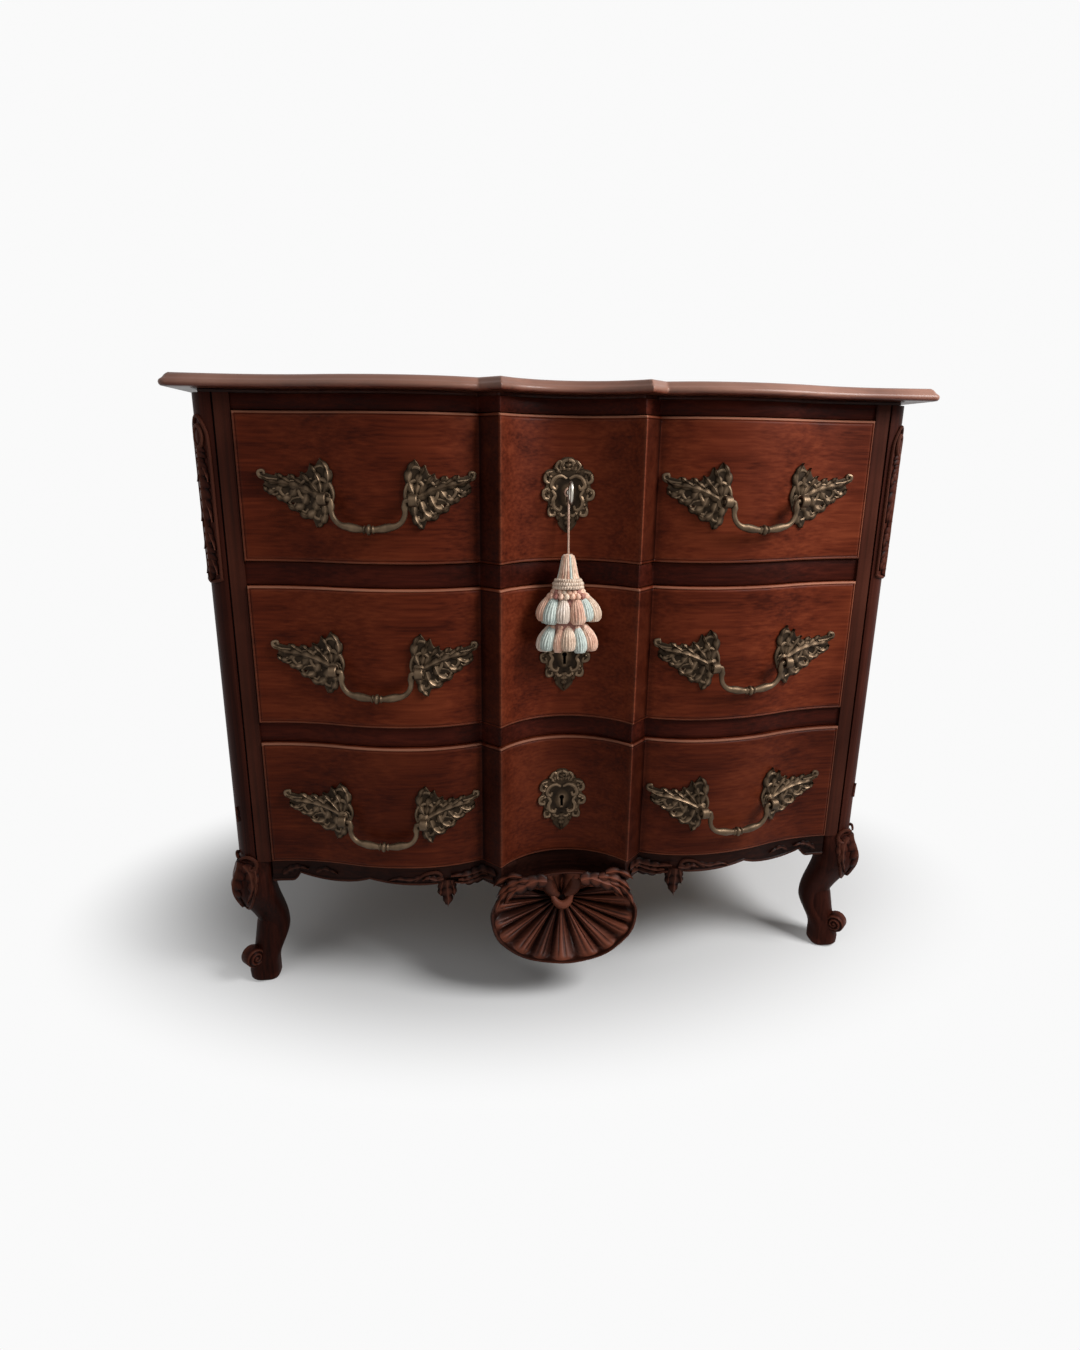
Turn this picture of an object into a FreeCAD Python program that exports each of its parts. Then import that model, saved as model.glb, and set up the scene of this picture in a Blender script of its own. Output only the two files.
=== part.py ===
import FreeCAD, Part

import math
import os

from FreeCAD import Vector

# A three-drawer commode with a crossbow front. Millimetres, +Z up, the front faces -Y.
# Heights are above the floor. Depths are measured from the plane where the drawer fronts
# meet the posts, negative towards the room, and are moved to the frame when saved.

# Overall depth, and how far the shell's rim stands in front of the drawer plane.
overall_depth = 600.0
shell_reach = 98.0

# Crossbow line of the front, from its middle to one end: runs across and depths at the turns.
arris_run = 103.0
shoulder_run = 29.0
bulge_run = 90.0
sweep_run = 253.0
centre_depth = -10.0
arris_depth = -62.0
shoulder_depth = -31.0
bulge_depth = -50.0
end_depth = -4.0

# Heights of the front, from the floor up.
sill_height = 230.0
drawer_gap = 1.0
bottom_drawer_height = 206.0
lower_rail_height = 31.0
middle_drawer_height = 214.0
upper_rail_height = 34.0
top_drawer_height = 210.0
frieze_height = 22.0
bearing_height = 5.0
top_thickness = 18.0

# Carcass.
post_width = 57.0
post_depth = 64.0
post_round = 32.0
quirk_width = 3.0
quirk_depth = 4.0
rear_post_size = 50.0
rear_foot_size = 36.0
rear_foot_drop = 30.0
rail_recess = 8.0
tenon_length = 23.0
tenon_thickness = 14.0
tenon_setback = 18.0
tenon_shoulder = 3.0
side_rail_thickness = 24.0
side_recess = 2.0
side_top_rail_height = 70.0
side_bottom_rail_height = 80.0
side_rail_drop = 25.0
side_tenon_thickness = 8.0
side_arch_rise = 24.0
side_arch_margin = 20.0
side_panel_thickness = 12.0
field_margin = 2.0
field_bevel = 36.0
field_rise = 4.0
groove_depth = 8.0
back_thickness = 14.0
back_rebate = 18.0
back_drop = 5.0
back_board_count = 3
board_gap = 0.5

# Carved drop of husks down the rounded corner of each front post.
husk_count = 6
husk_length = 42.0
husk_rise = 5.0
husk_flats = 3
husk_root = 1.5
husk_margin = 16.0

# Top.
top_front_overhang = 28.0
top_side_overhang = 28.0
top_back_overhang = 12.0
top_corner_radius = 14.0
top_upper_bevel = 6.0
top_under_bevel = 5.0
bearing_inset = 12.0
peg_radius = 5.0
peg_length = 46.0
peg_clearance = 0.1

# Drawers.
lip_bevel = 5.0
front_back = 16.0
drawer_rear_gap = 48.0
drawer_board = 14.0
drawer_side_gap = 2.5
drawer_base_lift = 4.0
drawer_top_drop = 24.0
drawer_bottom_thickness = 9.0
drawer_bottom_lift = 9.0
drawer_bottom_groove = 6.0
running_gap = 0.3
runner_height = 24.0
runner_width = 54.0
guide_height = 22.0
guide_gap = 1.5

# Pegs, shanks and rods are bars of this many sides, and what should turn has more.
bar_sides = 8
round_sides = 12

# Drawer pulls.
pull_share = 0.257
pull_drop = 13.0
bail_span = 104.0
bail_depth = 41.0
bail_radius = 4.0
bail_corner = 22.0
bail_bend = 3.0
bail_swell = 6.5
bail_ring = 8.5
bail_ring_half = 3.5
bail_pin_overrun = 2.0
eye_radius = 9.0
eye_half = 6.0
eye_gap = 1.0
pin_clearance = 0.4
pull_standoff = 24.0
shank_radius = 4.0
neck_radius = 5.0
collar_radius = 8.0
collar_height = 4.0
shank_clearance = 0.2
shank_sides = 4
shank_overrun = 2.0
nut_size = 14.0
nut_thickness = 5.0
plate_thickness = 4.0
plate_ease = 0.2
flat_width = 24.0

# Front view of one wing plate, from its eye: points away from the pull, then up.
wing_points = [
    (-8, -12), (-12, 8), (-8, 34), (4, 48), (12, 36), (28, 40), (32, 22), (54, 28),
    (86, 34), (72, 14), (62, -4), (46, -8), (38, -26), (20, -22), (12, -36), (0, -28),
]

# Front view of one half of an escutcheon, from the keyhole: points outward, then up.
escutcheon_points = [
    (0, 47), (12, 40), (20, 30), (34, 26), (29, 8), (35, -6), (24, -20),
    (27, -32), (12, -36), (10, -48), (0, -58),
]
escutcheon_thickness = 4.0

# Locks and key.
key_drop = 3.0
key_radius = 3.0
key_clearance = 0.4
key_visible_shank = 22.0
key_inner_reach = 12.0
key_end_gap = 1.0
bit_length = 10.0
bit_reach = 13.0
bit_thickness = 3.0
bit_clearance = 0.75
bit_room = 4.0
bow_length = 26.0
bow_height = 34.0
bow_thickness = 4.0
bow_rim = 5.5
bow_lap = 2.0
bow_sides = 16
lock_half_width = 38.0
lock_depth = 16.0
lock_above_key = 50.0
lock_below_key = 34.0
lock_wall = 2.0
bolt_half_width = 9.0
bolt_thickness = 8.0
bolt_foot = 20.0
bolt_clearance = 0.4
bolt_retreat = 2.0
bolt_throw = 12.0
mortise_clearance = 0.8

# Tassel that hangs from the key.
cord_radius = 1.6
cord_length = 90.0
loop_clearance = 0.9
loop_setback = 10.0
tassel_lean = 5.5
tassel_head_height = 36.0
tassel_head_radius = 9.0
tassel_waist_radius = 14.0
tassel_collar_height = 16.0
tassel_collar_radius = 23.0
tier_height = 53.0
lower_tier_height = 41.0
tassel_half_width = 53.0
tassel_half_depth = 26.0
tuft_count = 12
tuft_hollow = 0.12

# Apron: a scalloped lower edge with cusps, two pendants and a tongue behind the shell.
apron_drop = 32.0
apron_post_drop = 38.0
apron_foot_run = 30.0
apron_cusp_run = 15.0
apron_cusp_rise = 8.0
apron_sag = 3.0
apron_skin = 26.0
pendant_x = 191.0
pendant_half_width = 11.0
pendant_taper = 4.0
pendant_drop = 40.0
tongue_half_width = 92.0
tongue_shoulder = 4.0
tongue_drop = 116.0

# Shell carved in one piece and glued to the apron: an oval bowl with flutes from its umbo.
shell_drop = 158.0
shell_half_width = 122.0
shell_half_height = 75.0
shell_tilt = 18.6
shell_rim_width = 9.0
shell_rim_depth = 9.0
shell_rim_ease = 4.0
shell_flutes = 15
shell_flute_steps = 4
shell_rim_steps = 2
shell_flute_hollow = 0.09
shell_bowl_depth = 36.0
shell_umbo_rise = 28.0
shell_throat_share = 0.1
shell_neck_share = 0.48
shell_neck_depth = 90.0
heart_size = 22.0
heart_height = 14.0
heart_top_share = 0.55
heart_steps = 14

# Cabriole legs and scroll feet: heights, widths and moves along the corner's diagonal.
leg_lap = 2.0
leg_corner_share = 0.55
leg_steps = 4
knee_drop = 42.0
knee_size = 64.0
knee_offset = 9.0
ankle_height = 88.0
ankle_size = 46.0
ankle_offset = -22.0
instep_height = 28.0
foot_size = 46.0
foot_offset = 2.0
scroll_radius = 17.0
scroll_eye_radius = 9.0
scroll_half_length = 15.0
scroll_eye_length = 6.0
scroll_sides = 12
scroll_height = 48.0
scroll_offset = 26.0

# Levels worked out from the heights above.
bottom_low = sill_height + drawer_gap
bottom_high = bottom_low + bottom_drawer_height
lower_rail_low = bottom_high + drawer_gap
lower_rail_high = lower_rail_low + lower_rail_height
middle_low = lower_rail_high + drawer_gap
middle_high = middle_low + middle_drawer_height
upper_rail_low = middle_high + drawer_gap
upper_rail_high = upper_rail_low + upper_rail_height
top_low = upper_rail_high + drawer_gap
top_high = top_low + top_drawer_height
frieze_low = top_high + drawer_gap
frieze_high = frieze_low + frieze_height
slab_low = frieze_high + bearing_height
slab_high = slab_low + top_thickness
apron_low = sill_height - apron_drop
apron_foot = sill_height - apron_post_drop
tongue_bottom = sill_height - tongue_drop
shell_base = sill_height - shell_drop
knee_height = sill_height - knee_drop
side_bottom_rail_base = sill_height - side_rail_drop
back_base = sill_height - back_drop
rear_foot_height = sill_height - rear_foot_drop

# Places worked out from the sizes above.
arris_x = arris_run
shoulder_x = arris_x + shoulder_run
bulge_x = shoulder_x + bulge_run
drawer_half = bulge_x + sweep_run
pull_centre_x = bulge_x + pull_share * sweep_run
face_corners = [-shoulder_x, -arris_x, arris_x, shoulder_x]
face_y = shell_reach - overall_depth / 2
carcass_half = drawer_half + post_width
top_half = carcass_half + top_side_overhang
top_back = overall_depth - shell_reach
carcass_back = top_back - top_back_overhang
rear_front = carcass_back - rear_post_size
front_half = drawer_half - drawer_gap
box_half = drawer_half - drawer_side_gap
drawer_rear = carcass_back - back_thickness - drawer_rear_gap
post_centre_x = drawer_half + post_width / 2
post_centre_y = post_width / 2
side_outer = carcass_half - side_recess
side_inner = side_outer - side_rail_thickness
side_middle = (side_outer + side_inner) / 2
key_start = centre_depth - key_visible_shank
key_end = front_back + lock_wall + key_inner_reach
shank_end = front_back + nut_thickness + shank_overrun
bore_radius = (bail_radius + pin_clearance) / math.cos(math.pi / bar_sides)
far_front = -shell_reach * 2

drawers = {
    "top": (top_low, top_high),
    "middle": (middle_low, middle_high),
    "bottom": (bottom_low, bottom_high),
}
sides = {"left": -1, "right": 1}
depthwise = Vector(0, 1, 0)
upward = Vector(0, 0, 1)
slant = math.sqrt(0.5)

os.makedirs("parts", exist_ok=True)


def save(name, shape):
    """Writes one piece, moved from the drawer plane to the frame."""
    piece = shape.copy()
    piece.translate(Vector(0, face_y, 0))
    piece.exportStep(f"parts/{name}.step")


def block(x0, x1, y0, y1, z0, z1):
    return Part.makeBox(x1 - x0, y1 - y0, z1 - z0, Vector(x0, y0, z0))


def mirrored(shape):
    return shape.mirror(Vector(0, 0, 0), Vector(1, 0, 0))


def on_side(shape, side):
    """A piece drawn on the right is mirrored for the left."""
    return shape if side > 0 else mirrored(shape)


def line(a, b):
    return Part.LineSegment(Vector(*a), Vector(*b)).toShape()


def arc(a, middle, b):
    return Part.Arc(Vector(*a), Vector(*middle), Vector(*b)).toShape()


def wire(edges):
    return Part.Wire(Part.__sortEdges__(edges))


def closed(points):
    """A closed outline of straight edges."""
    return Part.makePolygon(points + points[:1])


def ruled(rings):
    """A solid with flat faces from ring to ring, each ring a list of as many corners."""
    faces = [Part.Face(closed(rings[0])), Part.Face(closed(rings[-1]))]
    for lower, upper in zip(rings, rings[1:]):
        for i in range(len(lower)):
            quad = [lower[i - 1], lower[i], upper[i], upper[i - 1]]
            faces.append(Part.Face(closed(quad)))
    shell = Part.Shell(faces)
    shell.sewShape()
    solid = Part.Solid(shell)
    if solid.Volume < 0:
        solid.reverse()
    return solid


def corners(centre, across, up, radius, count):
    """Corners of a regular outline that stands flat on its first edge."""
    points = []
    for i in range(count):
        turn = 2 * math.pi * (i + 0.5) / count
        points.append(centre + across * (radius * math.cos(turn)) + up * (radius * math.sin(turn)))
    return points


def prism(start, direction, length, radius, count=bar_sides):
    """A bar with a regular outline of count corners, such as a hand-cut peg or a filed shank."""
    across = Vector(1, 0, 0) if abs(direction.x) < slant else depthwise
    up = direction.cross(across).normalize()
    across = up.cross(direction)
    return Part.Face(closed(corners(start, across, up, radius, count))).extrude(direction * length)


def arc_from_apex(apex, end, height):
    """A plan arc that leaves its apex square to the depth and ends at the given point."""
    run = end[0] - apex[0]
    rise = end[1] - apex[1]
    radius = (run ** 2 + rise ** 2) / (2 * abs(rise))
    half_turn = math.asin(abs(run) / radius) / 2
    middle_x = apex[0] + math.copysign(radius * math.sin(half_turn), run)
    middle_y = apex[1] + math.copysign(radius * (1 - math.cos(half_turn)), rise)
    return arc((*apex, height), (middle_x, middle_y, height), (*end, height))


def front_line(shift, half, height):
    """Edges of the crossbow line, moved forward by shift, with its ends at plus and minus half."""
    middle_x = (bulge_x + half) / 2
    middle_depth = (bulge_depth + end_depth) / 2
    edges = []
    for side in (-1, 1):
        end = (side * half, end_depth - shift)
        turn = (side * middle_x, middle_depth - shift)
        bulge = (side * bulge_x, bulge_depth - shift)
        shoulder = (side * shoulder_x, shoulder_depth - shift)
        arris = (side * arris_x, arris_depth - shift)
        edges.append(arc_from_apex(end, turn, height))
        edges.append(arc_from_apex(bulge, turn, height))
        edges.append(arc_from_apex(bulge, shoulder, height))
        edges.append(line((*shoulder, height), (*arris, height)))
    arris_y = arris_depth - shift
    centre = (0, centre_depth - shift, height)
    edges.append(arc((-arris_x, arris_y, height), centre, (arris_x, arris_y, height)))
    return edges


def front_slab(shift, back, low, high, half):
    """A board whose face follows the crossbow line and whose back is flat."""
    edges = front_line(shift, half, low)
    front = end_depth - shift
    edges.append(line((half, front, low), (half, back, low)))
    edges.append(line((half, back, low), (-half, back, low)))
    edges.append(line((-half, back, low), (-half, front, low)))
    return Part.Face(wire(edges)).extrude(upward * (high - low))


def front_band(outer, inner, low, high, half):
    """A skin that follows the crossbow line between two shifts."""
    edges = front_line(outer, half, low) + front_line(inner, half, low)
    for x in (-half, half):
        edges.append(line((x, end_depth - outer, low), (x, end_depth - inner, low)))
    return Part.Face(wire(edges)).extrude(upward * (high - low))


def face_depth(x):
    """Depth of the drawer face at a place across, by the arc or step of the crossbow line there."""
    x = abs(x)
    if x <= arris_x:
        rise = centre_depth - arris_depth
        radius = (arris_x ** 2 + rise ** 2) / (2 * rise)
        return centre_depth - radius + math.sqrt(radius ** 2 - x ** 2)
    if x <= shoulder_x:
        share = (x - arris_x) / (shoulder_x - arris_x)
        return arris_depth + share * (shoulder_depth - arris_depth)
    if x <= bulge_x:
        run = bulge_x - shoulder_x
        rise = shoulder_depth - bulge_depth
        radius = (run ** 2 + rise ** 2) / (2 * rise)
        return bulge_depth + radius - math.sqrt(radius ** 2 - (bulge_x - x) ** 2)
    run = front_half - bulge_x
    rise = end_depth - bulge_depth
    radius = (run ** 2 + rise ** 2) / (4 * rise)
    if x <= (bulge_x + front_half) / 2:
        return bulge_depth + radius - math.sqrt(radius ** 2 - (x - bulge_x) ** 2)
    return end_depth - radius + math.sqrt(radius ** 2 - (front_half - x) ** 2)


def face_flats(breaks, shift):
    """Points on the drawer face, moved forward by shift, close enough for flats between them."""
    places = breaks[:1]
    for a, b in zip(breaks, breaks[1:]):
        count = math.ceil((b - a) / flat_width)
        places += [a + (b - a) * i / count for i in range(1, count + 1)]
    return [Vector(x, face_depth(x) - shift, 0) for x in places]


def bent_plate(points, height, thickness):
    """A front view given to a sheet of narrow flats that is bent to the drawer front."""
    outline = closed([Vector(x, far_front, height + z) for x, z in points])
    across = sorted(x for x, z in points)
    corners_between = [x for x in face_corners if across[0] < x < across[-1]]
    back = face_flats(across[:1] + corners_between + across[-1:], plate_ease)
    front = [p - depthwise * thickness for p in reversed(back)]
    sheet = Part.Face(closed(back + front)).extrude(upward * slab_high)
    return Part.Face(outline).extrude(depthwise * -far_front).common(sheet)


def rim_edges(solid, level):
    """Edges of the top's front and ends at one level."""
    edges = []
    for edge in solid.Edges:
        level_all = all(abs(v.Z - level) < 1e-6 for v in edge.Vertexes)
        at_back = all(abs(v.Y - top_back) < 1e-6 for v in edge.Vertexes)
        if level_all and not at_back:
            edges.append(edge)
    return edges


def make_top():
    """Moulded slab on a recessed bearing fillet, pegged to the posts."""
    front = end_depth - top_front_overhang
    corner = top_corner_radius
    bow = corner * (1 - slant)
    edges = front_line(top_front_overhang, drawer_half, slab_low)
    for side in (-1, 1):
        x = side * top_half
        start = (side * (top_half - corner), front, slab_low)
        middle = (side * (top_half - bow), front + bow, slab_low)
        end = (x, front + corner, slab_low)
        edges.append(line((side * drawer_half, front, slab_low), start))
        edges.append(arc(start, middle, end))
        edges.append(line(end, (x, top_back, slab_low)))
    edges.append(line((-top_half, top_back, slab_low), (top_half, top_back, slab_low)))
    slab = Part.Face(wire(edges)).extrude(upward * top_thickness)
    slab = slab.makeChamfer(top_upper_bevel, rim_edges(slab, slab_high))
    slab = slab.makeChamfer(top_under_bevel, rim_edges(slab, slab_low))
    bearing_back = carcass_back - bearing_inset
    reach = carcass_half - bearing_inset
    bearing = front_slab(-rail_recess - bearing_inset, bearing_back, frieze_high, slab_low,
                         drawer_half)
    ends = block(-reach, reach, bearing_inset, bearing_back, frieze_high, slab_low)
    top = slab.fuse([bearing, ends])
    for hole in peg_bars(peg_radius + peg_clearance):
        top = top.cut(hole)
    save("top_panel", top.removeSplitter())


def peg_bars(radius):
    """Bars at the four pegs, left and right, front then rear."""
    rear_x = carcass_half - rear_post_size / 2
    rear_y = carcass_back - rear_post_size / 2
    bars = []
    for side in (-1, 1):
        for x, y in ((post_centre_x, post_depth / 2), (rear_x, rear_y)):
            foot = Vector(side * x, y, slab_high - peg_length)
            bars.append(prism(foot, upward, peg_length, radius))
    return bars


def post_section(height):
    """Plan of a front post: flat stile, quirk, quarter column, quirk and flat side."""
    outer = carcass_half
    round_x = outer - post_round
    bow = post_round * slant
    quirk_x = round_x - quirk_width
    quirk_y = post_round + quirk_width
    points = [
        (outer, post_round),
        (outer - quirk_depth, post_round),
        (outer - quirk_depth, quirk_y),
        (outer, quirk_y),
        (outer, post_depth),
        (drawer_half, post_depth),
        (drawer_half, 0),
        (quirk_x, 0),
        (quirk_x, quirk_depth),
        (round_x, quirk_depth),
        (round_x, 0),
    ]
    edges = []
    for a, b in zip(points, points[1:]):
        edges.append(line((*a, height), (*b, height)))
    middle = (round_x + bow, post_round - bow, height)
    edges.append(arc((round_x, 0, height), middle, (outer, post_round, height)))
    return wire(edges)


def husk_drop():
    """Stacked husks round the quarter column, each flaring towards its lower edge."""
    axis = Vector(carcass_half - post_round, post_round, 0)
    high = frieze_high - husk_margin
    husks = []
    for i in range(husk_count):
        rings = []
        for level, reach in ((i, post_round + husk_root), (i + 1, post_round + husk_rise)):
            height = upward * (high - level * husk_length)
            points = [axis + height]
            for k in range(husk_flats + 1):
                turn = math.pi / 2 * k / husk_flats
                points.append(axis + height + Vector(reach * math.cos(turn), -reach * math.sin(turn), 0))
            rings.append(points)
        husks.append(ruled(rings))
    return husks


def leg_section(height, size, offset):
    """A square with cut corners, moved along the corner's diagonal by offset."""
    x = post_centre_x + offset * slant
    y = post_centre_y - offset * slant
    a = size / 2
    b = a * leg_corner_share
    square = [(a, -b), (a, b), (b, a), (-b, a), (-a, b), (-a, -b), (-b, -a), (b, -a)]
    return [Vector(x + u, y + v, height) for u, v in square]


def make_leg():
    """Cabriole leg that swells at the knee, with a scroll curled forward over its foot."""
    stations = [
        (sill_height + leg_lap, post_width, 0),
        (knee_height, knee_size, knee_offset),
        (ankle_height, ankle_size, ankle_offset),
        (instep_height, foot_size, foot_offset),
        (0, foot_size, foot_offset),
    ]
    rings = [leg_section(*stations[0])]
    for upper, lower in zip(stations, stations[1:]):
        for i in range(1, leg_steps + 1):
            fall = i / leg_steps
            ease = (1 - math.cos(math.pi * fall)) / 2
            height = upper[0] + fall * (lower[0] - upper[0])
            size = upper[1] + ease * (lower[1] - upper[1])
            offset = upper[2] + ease * (lower[2] - upper[2])
            rings.append(leg_section(height, size, offset))
    leg = ruled(rings)
    leg = leg.cut(block(0, drawer_half, far_front, overall_depth, apron_foot, slab_high))
    axis = Vector(slant, slant, 0)
    out = Vector(slant, -slant, 0)
    centre = Vector(post_centre_x, post_centre_y, scroll_height) + out * scroll_offset
    inner = scroll_half_length - scroll_eye_length
    rings = []
    for along, radius in ((-scroll_half_length, scroll_eye_radius), (-inner, scroll_radius),
                          (inner, scroll_radius), (scroll_half_length, scroll_eye_radius)):
        rings.append(corners(centre + axis * along, out, upward, radius, scroll_sides))
    return leg.fuse(ruled(rings))


def make_front_posts():
    """Post, leg and scroll foot in one piece, with mortises for the rails and panel."""
    post = Part.Face(post_section(sill_height)).extrude(upward * (frieze_high - sill_height))
    body = post.fuse(husk_drop() + [make_leg()])
    for cut in rail_tenons() + side_tenons() + [side_panel_blank()]:
        body = body.cut(cut)
    for hole in peg_bars(peg_radius + peg_clearance):
        body = body.cut(hole)
    for name, side in sides.items():
        save(f"front_post_{name}", on_side(body, side))


def rail_levels():
    """Low and high edges of the four front rails at the post."""
    return [
        (frieze_low, frieze_high),
        (upper_rail_low, upper_rail_high),
        (lower_rail_low, lower_rail_high),
        (apron_low, sill_height),
    ]


def rail_tenons():
    """Right-hand tenons of the front rails."""
    tenons = []
    back = tenon_setback + tenon_thickness
    for low, high in rail_levels():
        tenons.append(block(drawer_half, drawer_half + tenon_length, tenon_setback, back,
                            low + tenon_shoulder, high - tenon_shoulder))
    return tenons


def make_front_rails():
    """Frieze and the two rails between the drawers, tenoned into the posts."""
    names = ["front_top_rail", "upper_drawer_rail", "lower_drawer_rail"]
    drawer_tops = [top_high, middle_high, bottom_high]
    for name, level, tenon, drawer_top in zip(names, rail_levels(), rail_tenons(), drawer_tops):
        rail = front_slab(-rail_recess, post_depth, *level, drawer_half)
        rail = rail.fuse([tenon, mirrored(tenon)])
        save(name, rail.cut(bolt_mortise(drawer_top)).removeSplitter())


def bolt_mortise(drawer_top):
    """Slot in the rail that takes the raised bolt."""
    half = bolt_half_width + mortise_clearance
    front = front_back + lock_wall - mortise_clearance
    back = front_back + lock_wall + bolt_thickness + mortise_clearance
    depth = bolt_throw - bolt_retreat + mortise_clearance
    return block(-half, half, front, back, drawer_top, drawer_top + depth)


def apron_outline():
    """Front view of the apron: scalloped edge, two pendants and the tongue behind the shell."""
    y = far_front
    cusp = apron_low + apron_cusp_rise
    foot_x = drawer_half - apron_foot_run
    cusp_x = foot_x - apron_cusp_run
    near = pendant_x + pendant_half_width
    far = pendant_x - pendant_half_width
    tip = apron_low - pendant_drop
    point_z = tip + pendant_half_width
    middle_x = (cusp_x + near) / 2
    shoulder = apron_low - tongue_shoulder
    edges = []
    for s in (-1, 1):
        corner = (s * drawer_half, y, apron_foot)
        foot = (s * foot_x, y, apron_foot)
        first_cusp = (s * cusp_x, y, cusp)
        second_cusp = (s * middle_x, y, cusp)
        near_root = (s * near, y, apron_low)
        near_end = (s * (near - pendant_taper), y, point_z)
        far_end = (s * (far + pendant_taper), y, point_z)
        far_root = (s * far, y, apron_low)
        tongue = (s * tongue_half_width, y, shoulder)
        hollow = (s * (foot_x + cusp_x) / 2, y, (apron_foot + apron_low) / 2)
        sag = (s * (cusp_x + middle_x) / 2, y, apron_low - apron_sag)
        low_run = (s * (near + middle_x) / 2, y, apron_low)
        leaf = (s * (far + tongue_half_width) / 2, y, shoulder - apron_sag)
        edges.append(line((s * drawer_half, y, sill_height), corner))
        edges.append(line(corner, foot))
        edges.append(arc(foot, hollow, first_cusp))
        edges.append(arc(first_cusp, sag, second_cusp))
        edges.append(arc(second_cusp, low_run, near_root))
        edges.append(line(near_root, near_end))
        edges.append(line(near_end, (s * pendant_x, y, tip)))
        edges.append(line((s * pendant_x, y, tip), far_end))
        edges.append(line(far_end, far_root))
        edges.append(arc(far_root, leaf, tongue))
    edges.append(arc((-tongue_half_width, y, shoulder), (0, y, tongue_bottom),
                     (tongue_half_width, y, shoulder)))
    edges.append(line((-drawer_half, y, sill_height), (drawer_half, y, sill_height)))
    return wire(edges)


def make_apron():
    """Bottom rail with its shaped lower edge, whose pendants and tongue are only a skin deep."""
    shape = Part.Face(apron_outline()).extrude(depthwise * (post_depth - far_front))
    rail = front_slab(-rail_recess, post_depth, apron_low, sill_height, drawer_half)
    skin = front_band(-rail_recess, -rail_recess - apron_skin, tongue_bottom, sill_height,
                      drawer_half)
    tenon = rail_tenons()[-1]
    apron = rail.fuse(skin).common(shape).fuse([tenon, mirrored(tenon)])
    save("apron", apron.removeSplitter())


def shell_ring(share, rise, depth, steps, hollow):
    """An oval outline with a shallow wave for each flute, lying at a depth below the rim."""
    points = []
    count = shell_flutes * steps
    for i in range(count):
        turn = 2 * math.pi * i / count - math.pi / 2
        wave = (1 - math.cos(2 * math.pi * i / steps)) / 2
        reach = share * (1 + hollow * wave)
        x = shell_half_width * reach * math.cos(turn)
        y = shell_half_height * reach * math.sin(turn) + rise
        points.append(Vector(x, y, -depth))
    return points


def heart_ring(share, depth):
    """A heart outline about the umbo, from the usual curve in sines and cosines."""
    points = []
    for i in range(heart_steps):
        t = 2 * math.pi * (i + 0.5) / heart_steps
        x = math.sin(t) ** 3
        y = (13 * math.cos(t) - 5 * math.cos(2 * t) - 2 * math.cos(3 * t) - math.cos(4 * t)) / 16
        reach = share * heart_size
        points.append(Vector(x * reach, y * reach + shell_umbo_rise, -depth))
    return points


def make_shell():
    """Scallop bowl with flutes that fan from its umbo, tilted so that its rim stands forward."""
    back_depth = shell_bowl_depth + shell_neck_depth
    ease = 1 - shell_rim_ease / shell_half_height
    outside = ruled([
        shell_ring(ease, 0, 0, shell_rim_steps, 0),
        shell_ring(1, 0, shell_rim_depth, shell_rim_steps, 0),
        shell_ring((1 + shell_neck_share) / 2, shell_umbo_rise / 4, shell_bowl_depth, shell_rim_steps, 0),
        shell_ring(shell_neck_share, shell_umbo_rise, back_depth, shell_rim_steps, 0),
    ])
    hollow = shell_flute_hollow
    steps = shell_flute_steps
    mouth = (1 - shell_rim_width / shell_half_height) / (1 + hollow)
    middle = (mouth + shell_throat_share) / 2
    inside = ruled([
        shell_ring(mouth, 0, 0, steps, hollow),
        shell_ring(middle, shell_umbo_rise / 2, shell_bowl_depth * slant, steps, hollow),
        shell_ring(shell_throat_share, shell_umbo_rise, shell_bowl_depth, steps, hollow),
    ])
    heart = ruled([
        heart_ring(1, shell_bowl_depth),
        heart_ring(heart_top_share, shell_bowl_depth - heart_height),
    ])
    shell = outside.cut(inside).fuse(heart)
    lean = math.radians(shell_tilt)
    # Stands the bowl up so that it faces the room and tips back by the tilt.
    shell.rotate(Vector(0, 0, 0), Vector(1, 0, 0), 90 - shell_tilt)
    centre_y = -shell_reach + shell_half_height * math.sin(lean)
    centre_z = shell_base + shell_half_height * math.cos(lean)
    shell.translate(Vector(0, centre_y, centre_z))
    seat = face_flats(face_corners, -rail_recess)
    back = [p + depthwise * overall_depth for p in reversed(seat)]
    behind = Part.Face(closed(seat + back)).extrude(upward * slab_high)
    save("apron_shell", shell.cut(behind))


def make_rear_posts():
    """Square rear post that tapers to a plain foot."""
    x0 = carcass_half - rear_post_size
    post = block(x0, carcass_half, rear_front, carcass_back, rear_foot_height, frieze_high)
    rings = []
    for size, height in ((rear_foot_size, 0), (rear_post_size, rear_foot_height)):
        square = [(size, size), (0, size), (0, 0), (size, 0)]
        rings.append([Vector(carcass_half - u, carcass_back - v, height) for u, v in square])
    post = post.fuse(ruled(rings))
    for cut in side_tenons() + [side_panel_blank()]:
        post = post.cut(cut)
    post = post.cut(block(x0, x0 + back_rebate, carcass_back - back_thickness, carcass_back,
                          back_base, frieze_high))
    for hole in peg_bars(peg_radius + peg_clearance):
        post = post.cut(hole)
    for name, side in sides.items():
        save(f"rear_post_{name}", on_side(post.removeSplitter(), side))


def side_levels():
    """Low and high edges of the upper and lower side rails."""
    lower_high = side_bottom_rail_base + side_bottom_rail_height
    return [(frieze_high - side_top_rail_height, frieze_high), (side_bottom_rail_base, lower_high)]


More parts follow.
